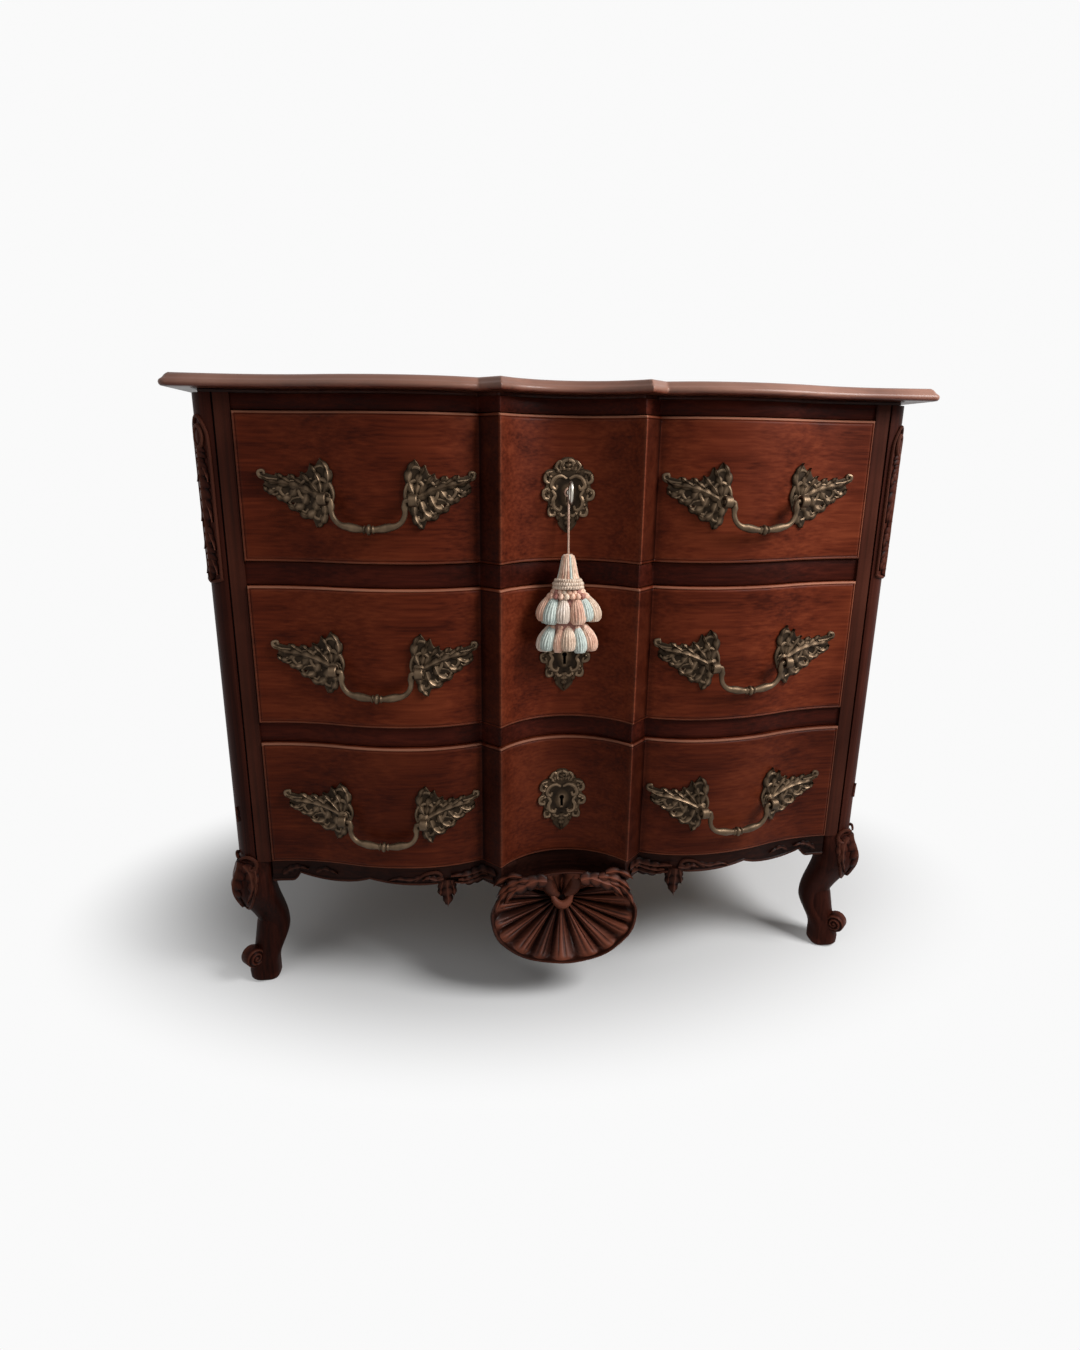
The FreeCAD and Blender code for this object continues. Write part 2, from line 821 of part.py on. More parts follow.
def side_tenons():
    """Right-hand tenons of the side rails, front and rear."""
    half = side_tenon_thickness / 2
    upper, lower = side_levels()
    spans = [
        (upper[0] + groove_depth, upper[1] - tenon_shoulder),
        (lower[0] + side_arch_rise, lower[1] - groove_depth),
    ]
    tenons = []
    for low, high in spans:
        for start in (post_depth - tenon_length, rear_front):
            tenons.append(block(side_middle - half, side_middle + half,
                                start, start + tenon_length, low, high))
    return tenons


def side_panel_blank():
    """Right-hand side panel, held in grooves of the rails and posts."""
    half = side_panel_thickness / 2
    upper, lower = side_levels()
    return block(side_middle - half, side_middle + half,
                 post_depth - groove_depth, rear_front + groove_depth,
                 lower[1] - groove_depth, upper[0] + groove_depth)


def panel_field():
    """Raised field on the outer face of the right-hand panel, bevelled all round."""
    face_x = side_middle + side_panel_thickness / 2
    upper, lower = side_levels()
    rings = []
    for x, inset in ((face_x, field_margin), (face_x + field_rise, field_margin + field_bevel)):
        y0, y1 = post_depth + inset, rear_front - inset
        z0, z1 = lower[1] + inset, upper[0] - inset
        rings.append([Vector(x, y0, z0), Vector(x, y1, z0), Vector(x, y1, z1), Vector(x, y0, z1)])
    return ruled(rings)


def make_sides():
    """Frame-and-panel sides: upper rail, arched lower rail and fielded panel."""
    upper, lower = side_levels()
    tenons = side_tenons()
    panel = side_panel_blank()
    fielded = panel.fuse(panel_field())
    top_rail = block(side_inner, side_outer, post_depth, rear_front, *upper).fuse(tenons[:2])
    bottom_rail = block(side_inner, side_outer, post_depth, rear_front, *lower).fuse(tenons[2:])
    start = (side_inner, post_depth + side_arch_margin, lower[0])
    finish = (side_inner, rear_front - side_arch_margin, lower[0])
    crown = (side_inner, (post_depth + rear_front) / 2, lower[0] + side_arch_rise)
    arch = Part.Face(wire([arc(start, crown, finish), line(start, finish)]))
    bottom_rail = bottom_rail.cut(arch.extrude(Vector(side_rail_thickness, 0, 0)))
    for name, side in sides.items():
        save(f"side_top_rail_{name}", on_side(top_rail.cut(panel), side))
        save(f"side_bottom_rail_{name}", on_side(bottom_rail.cut(panel), side))
        save(f"side_panel_{name}", on_side(fielded, side))


def make_back():
    """Level boards nailed into the rebates of the rear posts."""
    half = carcass_half - rear_post_size + back_rebate
    pitch = (frieze_high - back_base) / back_board_count
    boards = []
    for i in range(back_board_count):
        low = back_base + i * pitch
        boards.append(block(-half, half, carcass_back - back_thickness, carcass_back,
                            low, low + pitch - board_gap))
    save("back_boards", Part.Compound(boards))


def make_runners():
    """Bars under each drawer and over the top one, and the strips that guide the drawers."""
    runners = []
    guides = []
    outer = drawer_half + runner_width / 2
    inner = drawer_half - runner_width / 2
    guide_inner = box_half + guide_gap
    for low, high in drawers.values():
        seat = low + drawer_base_lift - running_gap
        runner = block(inner, outer, post_depth, rear_front, seat - runner_height, seat)
        guide = block(guide_inner, outer, post_depth, rear_front, seat, seat + guide_height)
        runners += [runner, mirrored(runner)]
        guides += [guide, mirrored(guide)]
    kicker = block(inner, outer, post_depth, rear_front, frieze_low, frieze_high)
    runners += [kicker, mirrored(kicker)]
    save("drawer_runners", Part.Compound(runners))
    save("drawer_guides", Part.Compound(guides))


def keyhole(key_z, near, far):
    """Round hole with a slot below it, cut through from near to far."""
    hole = prism(Vector(0, near, key_z), depthwise, far - near, key_radius + key_clearance, round_sides)
    half = bit_thickness / 2 + bit_clearance
    slot = block(-half, half, near, far, key_z - bit_reach - bit_room, key_z)
    return hole.fuse(slot)


def key_height(low, high):
    return (low + high) / 2 - key_drop


def drawer_front(low, high):
    """Board with a bevelled lip, a keyhole and holes for the pulls."""
    front = front_slab(0, front_back, low, high, front_half)
    lip = []
    for edge in front.Edges:
        ahead = all(v.Y < front_back for v in edge.Vertexes)
        if ahead and abs(edge.Vertexes[0].Z - edge.Vertexes[-1].Z) < 1e-6:
            lip.append(edge)
    front = front.makeChamfer(lip_bevel, lip)
    front = front.cut(keyhole(key_height(low, high), far_front, front_back))
    for hole in pull_bars(low, high, shank_radius + shank_clearance):
        front = front.cut(hole)
    return front


def make_drawer_box(name, low, high):
    """Front, two sides, back and bottom of one drawer."""
    floor_low = low + drawer_base_lift + drawer_bottom_lift
    floor_high = floor_low + drawer_bottom_thickness
    inner = box_half - drawer_board
    floor_half = inner + drawer_bottom_groove
    box_high = high - drawer_top_drop
    floor = block(-floor_half, floor_half, front_back - drawer_bottom_groove, drawer_rear,
                  floor_low, floor_high)
    side_board = block(inner, box_half, front_back, drawer_rear, low + drawer_base_lift, box_high)
    back = block(-inner, inner, drawer_rear - drawer_board, drawer_rear, floor_high, box_high)
    save(f"drawer_front_{name}", drawer_front(low, high).cut(floor).removeSplitter())
    for label, side in sides.items():
        save(f"drawer_side_{name}_{label}", on_side(side_board.cut(floor), side))
    save(f"drawer_back_{name}", back)
    save(f"drawer_bottom_{name}", floor)


def pull_eyes():
    """Inner and outer eye of a right-hand pull, at the height of its pivot."""
    reach = bail_span / 2 + bail_radius + eye_gap + eye_half
    eyes = []
    for x in (pull_centre_x - reach, pull_centre_x + reach):
        eyes.append(Vector(x, face_depth(x) - pull_standoff, 0))
    return eyes


def pull_height(low, high):
    return (low + high) / 2 - pull_drop


def pull_bars(low, high, radius):
    """Bars from the four eyes of a drawer to just past the nuts behind its front."""
    bars = []
    for eye in pull_eyes():
        for side in (-1, 1):
            start = Vector(side * eye.x, eye.y, pull_height(low, high))
            bars.append(prism(start, depthwise, shank_end - eye.y, radius, shank_sides))
    return bars


def make_plates(name, low, high):
    """Four leafy wing plates bent to the drawer front."""
    height = pull_height(low, high)
    inner, outer = pull_eyes()
    plates = []
    for eye, toward in ((inner, -1), (outer, 1)):
        points = [(eye.x + toward * u, v) for u, v in wing_points]
        plate = bent_plate(points, height, plate_thickness)
        for hole in pull_bars(low, high, shank_radius + shank_clearance):
            plate = plate.cut(hole)
        plates += [plate, mirrored(plate)]
    save(f"pull_plates_{name}", Part.Compound(plates))


def eye_post(eye, height, along):
    """Post whose eye carries a bail pin, seated on its plate, with the shank through the front."""
    centre = Vector(eye.x, eye.y, height)
    ball = prism(centre - along * eye_half, along, 2 * eye_half, eye_radius)
    bore = prism(centre - along * eye_half, along, 2 * eye_half, bore_radius)
    step = flat_width / 2
    slope = Vector(2 * step, face_depth(eye.x + step) - face_depth(eye.x - step), 0).normalize()
    inward = upward.cross(slope)
    to_seat = pull_standoff - plate_thickness - plate_ease
    seat = centre + depthwise * to_seat
    collar = prism(seat - inward * collar_height, inward, collar_height, collar_radius)
    neck = prism(centre, depthwise, to_seat - collar_height / 2, neck_radius)
    root = seat - depthwise * (collar_height / 2)
    shank = prism(root, depthwise, shank_end - root.y, shank_radius, shank_sides)
    return ball.fuse([neck, collar, shank]).cut(bore)


def make_eye_posts(name, low, high):
    """Four eye posts and the square nuts that hold them behind the front."""
    height = pull_height(low, high)
    inner, outer = pull_eyes()
    along = (outer - inner).normalize()
    half = nut_size / 2
    pieces = []
    for eye in (inner, outer):
        post = eye_post(eye, height, along)
        nut = block(eye.x - half, eye.x + half, front_back, front_back + nut_thickness,
                    height - half, height + half).cut(post)
        pieces += [post, mirrored(post), nut, mirrored(nut)]
    save(f"pull_posts_{name}", Part.Compound(pieces))


def bail_path():
    """Right half of the bail as places across, heights and radii, from the pin to the middle."""
    half = bail_span / 2
    low = -bail_depth
    pin_end = half + bail_radius + eye_gap + 2 * eye_half + bail_pin_overrun
    path = [(pin_end, 0, bail_radius)]
    path.append((half + bail_bend, 0, bail_radius))
    path.append((half, -bail_bend, bail_radius))
    flat = half - bail_corner
    for i in range(4):
        turn = math.pi / 2 * i / 3
        x = flat + bail_corner * math.cos(turn)
        path.append((x, low + bail_corner * (1 - math.sin(turn)), bail_radius))
    path.append((flat - bail_ring_half, low, bail_radius))
    path.append((flat / 2, low, bail_swell))
    path.append((bail_ring_half, low, bail_radius))
    return path


def make_bail():
    """A shallow U of mitred runs, with pins in the eyes, a swelling bar and a middle ring."""
    half = bail_path()
    path = half + [(-x, z, radius) for x, z, radius in reversed(half)]
    places = [Vector(x, 0, z) for x, z, radius in path]
    runs = [(b - a).normalize() for a, b in zip(places, places[1:])]
    rings = []
    for place, before, after, (x, z, radius) in zip(places, runs[:1] + runs, runs + runs[-1:], path):
        middle = (before + after).normalize()
        mitre = depthwise.cross(middle) * (1 / middle.dot(before))
        rings.append(corners(place, mitre, depthwise, radius, bar_sides))
    ring = prism(Vector(-bail_ring_half, 0, -bail_depth), Vector(1, 0, 0), 2 * bail_ring_half,
                 bail_ring, 2 * bar_sides)
    return ruled(rings).fuse(ring)


def make_bails(name, low, high):
    inner, outer = pull_eyes()
    along = outer - inner
    middle = (inner + outer) * 0.5
    bail = make_bail()
    bail.rotate(Vector(0, 0, 0), upward, math.degrees(math.atan2(along.y, along.x)))
    bail.translate(Vector(middle.x, middle.y, pull_height(low, high)))
    for label, side in sides.items():
        save(f"bail_{name}_{label}", on_side(bail, side))


def make_escutcheon(name, low, high):
    """Leafy plate bent to the hollow of the front, with its keyhole."""
    key_z = key_height(low, high)
    left = [(-u, v) for u, v in reversed(escutcheon_points[1:-1])]
    plate = bent_plate(escutcheon_points + left, key_z, escutcheon_thickness)
    save(f"escutcheon_{name}", plate.cut(keyhole(key_z, far_front, front_back)))


def make_lock(name, low, high):
    """Lock case on the back of the front, and the bolt that slides up into the rail."""
    key_z = key_height(low, high)
    back = front_back + lock_depth
    case = block(-lock_half_width, lock_half_width, front_back, back,
                 key_z - lock_below_key, key_z + lock_above_key)
    bolt_front = front_back + lock_wall
    bolt_back = bolt_front + bolt_thickness
    bolt_low = key_z + bolt_foot
    bolt = block(-bolt_half_width, bolt_half_width, bolt_front, bolt_back,
                 bolt_low, high - bolt_retreat)
    room = bolt_half_width + bolt_clearance
    channel = block(-room, room, bolt_front - bolt_clearance, bolt_back + bolt_clearance,
                    bolt_low - bolt_clearance, key_z + lock_above_key)
    cavity = prism(Vector(0, bolt_front, key_z), depthwise, lock_depth - 2 * lock_wall,
                   bit_reach + bit_room)
    case = case.cut(channel).cut(cavity).cut(keyhole(key_z, front_back, bolt_front))
    save(f"lock_case_{name}", case)
    save(f"lock_bolt_{name}", bolt)


def bow_face(half_y, half_z, centre):
    """An oval in the plane of the key, seen from the side."""
    points = []
    for i in range(bow_sides):
        turn = 2 * math.pi * (i + 0.5) / bow_sides
        points.append(centre + Vector(0, half_y * math.cos(turn), half_z * math.sin(turn)))
    return Part.Face(closed(points))


def make_key():
    """Key in the top lock: round shank, flat bow with an oval eye, and a bit."""
    key_z = key_height(*drawers["top"])
    shank = prism(Vector(0, key_start, key_z), depthwise, key_end - key_start, key_radius, round_sides)
    bit_back = key_end - key_end_gap
    half = bit_thickness / 2
    bit = block(-half, half, bit_back - bit_length, bit_back, key_z - bit_reach, key_z)
    half_y = bow_length / 2
    half_z = bow_height / 2
    centre = Vector(-bow_thickness / 2, key_start - half_y + bow_lap, key_z)
    bow = bow_face(half_y, half_z, centre).cut(bow_face(half_y - bow_rim, half_z - bow_rim, centre))
    save("key", shank.fuse([bit, bow.extrude(Vector(bow_thickness, 0, 0))]))


def tassel_ring(half_x, half_y, z, hollow):
    """An oval outline that dips between the tufts."""
    points = []
    for i in range(2 * tuft_count):
        turn = math.pi * i / tuft_count
        reach = 1 - hollow * (i % 2)
        points.append(Vector(half_x * reach * math.cos(turn), half_y * reach * math.sin(turn), z))
    return points


def make_tassel():
    """Cord looped on the key's shank, turned head with collar, and two tiers of tufts."""
    loop_inner = key_radius + loop_clearance
    loop_outer = loop_inner + 2 * cord_radius
    start = Vector(0, -cord_radius, 0)
    loop = prism(start, depthwise, 2 * cord_radius, loop_outer, round_sides)
    loop = loop.cut(prism(start, depthwise, 2 * cord_radius, loop_inner, round_sides))
    cord = prism(Vector(0, 0, -cord_length), upward, cord_length - loop_outer + cord_radius, cord_radius)

    head_low = -cord_length - tassel_head_height
    collar_low = head_low - tassel_collar_height
    collar = tassel_collar_radius
    head = ruled([
        tassel_ring(tassel_head_radius, tassel_head_radius, -cord_length, 0),
        tassel_ring(tassel_waist_radius, tassel_waist_radius, head_low, 0),
        tassel_ring(collar, collar, (head_low + collar_low) / 2, 0),
        tassel_ring(collar, collar, collar_low, 0),
    ])

    wide = tassel_half_width
    deep = tassel_half_depth
    neck = collar / wide
    waist = (1 + neck) / 2
    tier_low = collar_low - tier_height
    tiers = []
    for high, low in ((collar_low, tier_low), (tier_low, tier_low - lower_tier_height)):
        middle = (high + 2 * low) / 3
        tiers.append(ruled([
            tassel_ring(wide * waist, deep * waist, high, tuft_hollow),
            tassel_ring(wide, deep, middle, tuft_hollow),
            tassel_ring(wide * waist, deep * waist, low, tuft_hollow),
        ]))

    # The loop stays square to the shank while the rest leans out from the drawer front.
    for shape in [cord, head] + tiers:
        shape.rotate(Vector(0, 0, 0), Vector(1, 0, 0), -tassel_lean)
    pivot = Vector(0, key_start + loop_setback, key_height(*drawers["top"]))
    pieces = {
        "tassel_cord": loop.fuse(cord),
        "tassel_head": head,
        "tassel_skirts": Part.Compound(tiers),
    }
    for name, shape in pieces.items():
        shape.translate(pivot)
        save(name, shape)


make_top()
save("top_pegs", Part.Compound(peg_bars(peg_radius)))
make_front_posts()
make_rear_posts()
make_sides()
make_back()
make_front_rails()
make_apron()
make_shell()
make_runners()
for drawer_name, levels in drawers.items():
    make_drawer_box(drawer_name, *levels)
    make_plates(drawer_name, *levels)
    make_eye_posts(drawer_name, *levels)
    make_bails(drawer_name, *levels)
    make_escutcheon(drawer_name, *levels)
    make_lock(drawer_name, *levels)
make_key()
make_tassel()
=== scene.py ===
# %% [markdown]
# # Dressing a crossbow-front commode
# The packed frame holds the joiner's work of a three-drawer commode: posts, rails, drawers,
# locks and pulls, each riding on its own body. This lesson gives that frame its skin of carved
# wood, chased bronze and thread. All measures are millimetres, as a cabinet maker writes them,
# and become metres only when a mesh is made.

# %% Load the frame
import math
import random

import bmesh
import bpy
from mathutils import Matrix, Vector


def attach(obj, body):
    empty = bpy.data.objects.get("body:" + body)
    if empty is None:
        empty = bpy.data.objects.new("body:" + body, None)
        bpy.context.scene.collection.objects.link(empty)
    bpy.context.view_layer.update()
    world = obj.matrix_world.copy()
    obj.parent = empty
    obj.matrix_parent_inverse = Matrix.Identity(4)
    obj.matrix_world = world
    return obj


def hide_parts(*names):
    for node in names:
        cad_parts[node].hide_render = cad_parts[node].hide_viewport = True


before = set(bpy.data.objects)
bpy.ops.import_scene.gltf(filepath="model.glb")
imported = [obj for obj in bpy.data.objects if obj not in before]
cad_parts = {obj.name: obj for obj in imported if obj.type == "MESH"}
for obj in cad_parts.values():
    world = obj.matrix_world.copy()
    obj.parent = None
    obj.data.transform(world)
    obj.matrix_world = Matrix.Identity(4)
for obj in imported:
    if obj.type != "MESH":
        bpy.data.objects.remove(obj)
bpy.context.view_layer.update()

# %% [markdown]
# ## The camera
# The picture was taken with a wide lens held at the height of the top, a little left of the
# middle and tipped down. The camera is set from three plain turns: to the side, down, and a
# slight roll. A matrix made from its own right, up and back directions is easier to trust than
# angles typed into the object.

# %% Camera


def placed(name, data):
    """A new object with that data, linked into the scene."""
    made = bpy.data.objects.new(name, data)
    bpy.context.scene.collection.objects.link(made)
    return made


camera_place = Vector((-0.1772, -1.3870, 0.8763))
yaw, pitch, roll = (math.radians(angle) for angle in (-6.757, 15.848, 0.660))
flat_right = Vector((math.cos(yaw), math.sin(yaw), 0))
flat_ahead = Vector((-math.sin(yaw), math.cos(yaw), 0))
look = flat_ahead * math.cos(pitch) - Vector((0, 0, math.sin(pitch)))
level_up = flat_ahead * math.sin(pitch) + Vector((0, 0, math.cos(pitch)))
camera_right = flat_right * math.cos(roll) + level_up * math.sin(roll)
camera_up = level_up * math.cos(roll) - flat_right * math.sin(roll)

camera_data = bpy.data.cameras.new("photo_camera")
camera_data.lens = 20.80
camera_data.sensor_width = 36.0
camera = placed("photo_camera", camera_data)
turned = Matrix((camera_right, camera_up, -look)).transposed().to_4x4()
camera.matrix_world = Matrix.Translation(camera_place) @ turned
bpy.context.scene.camera = camera
bpy.context.scene.view_settings.view_transform = "Standard"
print("camera at", tuple(round(v, 3) for v in camera_place))

# %% [markdown]
# ## Measures shared by the pieces
# The front bends like a crossbow: a hollow in the middle between two sharp arrises, a step back
# to a shoulder, a bulge, and a long sweep to each end. One function gives the depth of that line
# at any place across, so the drawers, rails, top, apron and bronzes all lie on the same curve.

# %% The crossbow line
millimetre = 0.001
face_plane = -202.0
arris_x, shoulder_x, bulge_x, drawer_half = 103.0, 132.0, 222.0, 475.0
centre_depth, arris_depth, shoulder_depth, bulge_depth, end_depth = -10.0, -62.0, -31.0, -50.0, -4.0
rail_recess = 8.0
corner_ease, corner_reach = 1.6, 3.0


def arc_rise(run, rise, away):
    """How far an arc of that run and rise has left its tangent, away from where they touch."""
    radius = (run ** 2 + rise ** 2) / (2 * rise)
    return radius - math.sqrt(radius ** 2 - away ** 2)


def sharp_depth(x):
    """Depth of the front from the drawer plane, by the arc or step at that place."""
    x = abs(x)
    if x <= arris_x:
        return centre_depth - arc_rise(arris_x, centre_depth - arris_depth, x)
    if x <= shoulder_x:
        share = (x - arris_x) / (shoulder_x - arris_x)
        return arris_depth + share * (shoulder_depth - arris_depth)
    if x <= bulge_x:
        return bulge_depth + arc_rise(bulge_x - shoulder_x, shoulder_depth - bulge_depth, bulge_x - x)
    half_run, half_rise = (drawer_half - bulge_x) / 2, (end_depth - bulge_depth) / 2
    if x <= bulge_x + half_run:
        return bulge_depth + arc_rise(half_run, half_rise, x - bulge_x)
    return end_depth - arc_rise(half_run, half_rise, max(0.0, drawer_half - x))


def face(x):
    """The same line with its corners rubbed round by use."""
    near = min(abs(abs(x) - arris_x), abs(abs(x) - shoulder_x))
    ease = corner_ease * max(0.0, 1 - near / corner_reach)
    return (sharp_depth(x - ease) + 2 * sharp_depth(x) + sharp_depth(x + ease)) / 4


def across_places(half, step, extra=()):
    """Places across the front, close at the corners and at any extra marks."""
    marks = {-half, half, 0.0, *extra}
    for corner in (arris_x, shoulder_x):
        for shift in (-corner_reach, -corner_ease, 0.0, corner_ease, corner_reach):
            marks |= {corner + shift, -corner - shift}
    marks = sorted(m for m in marks if -half <= m <= half)
    places = marks[:1]
    for a, b in zip(marks, marks[1:]):
        count = max(1, math.ceil((b - a) / step))
        places += [a + (b - a) * i / count for i in range(1, count + 1)]
    return places


print("hollow", face(0), "arris", round(face(arris_x), 1), "bulge", face(bulge_x))

# %% [markdown]
# ## From points to pieces
# Every piece is a skin of quads over rows of points. A mould gathers the rows, and each point
# carries a wear value: above zero where hands and dusters rub the surface, below zero where
# polish and dust gather. The same value also carries painted light: painted shade on the drawers'
# steps, quirks and shoulders and between a tassel's strands, and painted highlights on the drawers'
# beads, with lit and shaded ribs on the shell. The finishes read that value later, as the attribute
# named relief, so that wear follows the carving and not the camera.

# %% Mould


class Mould:
    """Points, faces, wear and tone numbers of one piece, in millimetres; the wear numbers also carry painted
    light.
    """

    def __init__(self):
        self.points, self.faces, self.wear, self.tones = [], [], [], []

    def add(self, rows, wear=0.0, around=False, caps=False, tone=0, skip=()):
        """Adds a skin over rows of equal length. Wear is one value, or one for each row or point."""
        start, count = len(self.points), len(rows[0])
        for r, row in enumerate(rows):
            level = wear[r] if isinstance(wear, (list, tuple)) else wear
            self.points += [tuple(p) for p in row]
            self.wear += level if isinstance(level, list) else [level] * count
        for r in range(len(rows) - 1):
            for c in range(count if around else count - 1):
                if (r, c) not in skip:
                    low, d = start + r * count, (c + 1) % count
                    self.faces.append((low + c, low + d, low + count + d, low + count + c))
        if caps:
            last = len(self.points) - count
            self.faces += [tuple(range(start, start + count)), tuple(range(last, last + count))]
        self.tones += [tone] * (len(self.faces) - len(self.tones))

    def weave(self, along, across, rule, **how):
        """Adds a skin from a rule that gives the point and its wear for each place along and across."""
        cells = [[rule(a, b) for b in across] for a in along]
        rows = [[point for point, wear in row] for row in cells]
        self.add(rows, [[wear for point, wear in row] for row in cells], **how)
        return rows

    def mirrored(self):
        """The same piece for the other side."""
        other = Mould()
        other.points = [(-x, y, z) for x, y, z in self.points]
        other.faces = [corners[::-1] for corners in self.faces]
        other.wear, other.tones = list(self.wear), list(self.tones)
        return other

    def join(self, other):
        start = len(self.points)
        self.points += other.points
        self.wear += other.wear
        self.tones += other.tones
        self.faces += [tuple(start + i for i in corners) for corners in other.faces]


print("a mould holds", ", ".join(vars(Mould())))

# %% [markdown]
# ## Setting a piece on its body
# A mesh alone knows nothing of drawers. Each piece gets a body to ride on, so that it moves with
# its drawer or bail, and the frame's nodes that it stands in for are hidden. Points that meet are
# merged and edges sharper than an angle stay crisp. Modifiers could do both, but a finished mesh
# is simpler to export.

# %% Piece


def frame_point(x, y, z):
    """A place of the frame in metres, from millimetres counted from the drawer plane."""
    return (x * millimetre, (y + face_plane) * millimetre, z * millimetre)


def piece(name, mould, finishes, body, slot, *nodes, sharp=38):
    """Makes the mesh, gives it its finish and its wear with the painted light it carries, and sets it on its body.
    """
    mesh = bpy.data.meshes.new(name)
    mesh.from_pydata([frame_point(*point) for point in mould.points], [], mould.faces)
    for finish in finishes:
        mesh.materials.append(finish)
    mesh.polygons.foreach_set("material_index", mould.tones)
    mark = mesh.attributes.new("relief", "FLOAT", "POINT")
    mark.data.foreach_set("value", mould.wear)
    skin = bmesh.new()
    skin.from_mesh(mesh)
    bmesh.ops.remove_doubles(skin, verts=skin.verts, dist=1e-6)
    bmesh.ops.recalc_face_normals(skin, faces=skin.faces)
    skin.to_mesh(mesh)
    skin.free()
    mesh.shade_smooth()
    mesh.set_sharp_from_angle(angle=math.radians(sharp))
    made = placed(name, mesh)
    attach(made, body)
    if nodes:
        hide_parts(*nodes)
    print(name, len(mesh.polygons), "faces on", body)
    return made


print("drawer plane at", frame_point(0, 0, 0)[1], "m")

# %% [markdown]
# ## Lines, bars and turned pieces
# Rings, smooth lines and round bars come back in almost every piece, so each has one small
# function. A bar is a ring of points carried along a path; the ring is turned with the path, and
# is never allowed to twist.

# %% Tube and smooth line
quarter = math.pi / 2


def turns(count, whole=2 * math.pi, closed=False):
    """Angles at even steps of a full turn, or of the part of it that is asked for."""
    return [whole * i / count for i in range(count + closed)]


def flipped(line, side):
    """A flat line, or its mirror image where side is -1."""
    return [(side * u, v) for u, v in line]


def smooth(points, count):
    """Places on a smooth line through the given points."""
    first = [2 * a - b for a, b in zip(points[0], points[1])]
    final = [2 * a - b for a, b in zip(points[-1], points[-2])]
    held = [first, *points, final]
    spans = len(points) - 1
    line = []
    for i in range(count):
        t = i / (count - 1) * spans
        k = min(int(t), spans - 1)
        t -= k
        line.append(tuple(
            0.5 * (2 * b + (c - a) * t + (2 * a - 5 * b + 4 * c - d) * t ** 2 + (3 * b - a - 3 * c + d) * t ** 3)
            for a, b, c, d in zip(*held[k:k + 4])
        ))
    return line


def tube(mould, path, radii, sides=12, tone=0, wear=0.2, strands=0, strand_depth=0.0, flat=1.0):
    """A round bar along a path, with a radius at each place and fine ridges where asked."""
    places = [Vector(p) for p in path]
    across = None
    rows, worn = [], []
    for i, place in enumerate(places):
        ahead = (places[min(i + 1, len(places) - 1)] - places[max(i - 1, 0)]).normalized()
        if across is None:
            across = Vector((1, 0, 0)) if abs(ahead.x) < 0.7 else Vector((0, 1, 0))
        across = (across - ahead * across.dot(ahead)).normalized()
        up = ahead.cross(across)
        row, levels = [], []
        for turn in turns(sides):
            ridge = math.cos(strands * turn) if strands else 0.0
            reach = radii[i] * (1 + strand_depth * ridge)
            row.append(place + across * (reach * math.cos(turn)) + up * (reach * flat * math.sin(turn)))
            # The wear value dips in the grooves between ridges, as painted shade between the strands, and rises on
            # their crests.
            levels.append(wear + 0.6 * ridge)
        rows.append(row)
        worn.append(levels)
    mould.add(rows, worn, around=True, caps=True, tone=tone)


def turned_bar(mould, start, axis, profile, sides=20, wear=0.2):
    """A piece turned about an axis, from pairs of distance along it and radius."""
    start, axis = Vector(start), Vector(axis)
    tube(mould, [start + axis * along for along, radius in profile], [radius for along, radius in profile],
         sides=sides, wear=wear)


print("one turn in 8:", [round(turn, 2) for turn in turns(8)])

# %% [markdown]
# ## Leaves
# Rocaille bronze and carved fruitwood leaves share one idea: a curved spine, a width that swells
# and runs out to a tip, lobes along both edges that lean towards the tip, and a raised rib. A leaf
# here is drawn flat, as places across and along with a height, and is then laid on whatever
# carries it: the drawer front, a rounded post, a knee or the shell. That is quicker than sculpting
# and keeps every leaf seated on its surface.

# %% Leaf
leaf_across = (-1.0, -0.85, -0.62, -0.36, -0.14, 0.0, 0.14, 0.36, 0.62, 0.85, 1.0)
leaf_under = (0.7, 0.0, -0.7)
leaf_back, leaf_lean, rib_width, hidden_wear = 0.4, 0.35, 0.17, -0.8


def leaf(mould, spine, width, rise, lobes, lay, count=24, blunt=0.0, curl=0.5):
    """Adds one leaf. lay turns a place across, a place up and a height into a point."""
    line = smooth(spine, count)
    rows, worn = [], []
    for i, (px, pz) in enumerate(line):
        t = i / (count - 1)
        (ax, az), (bx, bz) = line[max(i - 1, 0)], line[min(i + 1, count - 1)]
        length = math.hypot(bx - ax, bz - az) or 1.0
        tx, tz = (bx - ax) / length, (bz - az) / length
        body = 0.55 + 0.45 * math.sin(math.pi * min(1.0, 0.25 + 0.85 * t))
        swell = body * (1 - t ** (3 + 7 * blunt)) ** (0.8 - 0.3 * blunt)
        lobe = abs(math.sin(math.pi * (lobes * t + 0.15))) ** 0.6 if lobes else 1.0
        half = width * max(0.02, swell) * (0.62 + 0.38 * lobe)
        row, levels = [], []
        for u in leaf_across:
            edge = abs(u)
            slide = leaf_lean * half * edge ** 2 * lobe
            dome = math.sqrt(max(0.0, 1 - edge ** 2))
            rib = math.exp(-(u / rib_width) ** 2)
            notch = (1 - lobe) * edge
            stand = (1 - 0.6 * notch) * (0.6 + 0.4 * body + curl * t ** 3)
            high = rise * (0.2 + 0.46 * dome + 0.22 * rib) * stand
            row.append(lay(px - tz * u * half + tx * slide, pz + tx * u * half + tz * slide, high))
            levels.append(max(-1.0, min(1.0, 2.3 * high / rise - 1.15 - 0.8 * notch)))
        row += [lay(px - tz * u * half, pz + tx * u * half, -leaf_back) for u in leaf_under]
        rows.append(row)
        worn.append(levels + [hidden_wear] * len(leaf_under))
    mould.add(rows, worn, around=True, caps=True)


def spray(mould, leaves, lay, sides=(-1, 1), **how):
    """A table of leaves (spine, width, rise, lobes, bluntness) on one side or on both."""
    for side in sides:
        for spine, width, rise, lobes, blunt in leaves:
            leaf(mould, flipped(spine, side), width, rise, lobes, lay, blunt=blunt, **how)


print("leaf has", len(leaf_across), "places across")

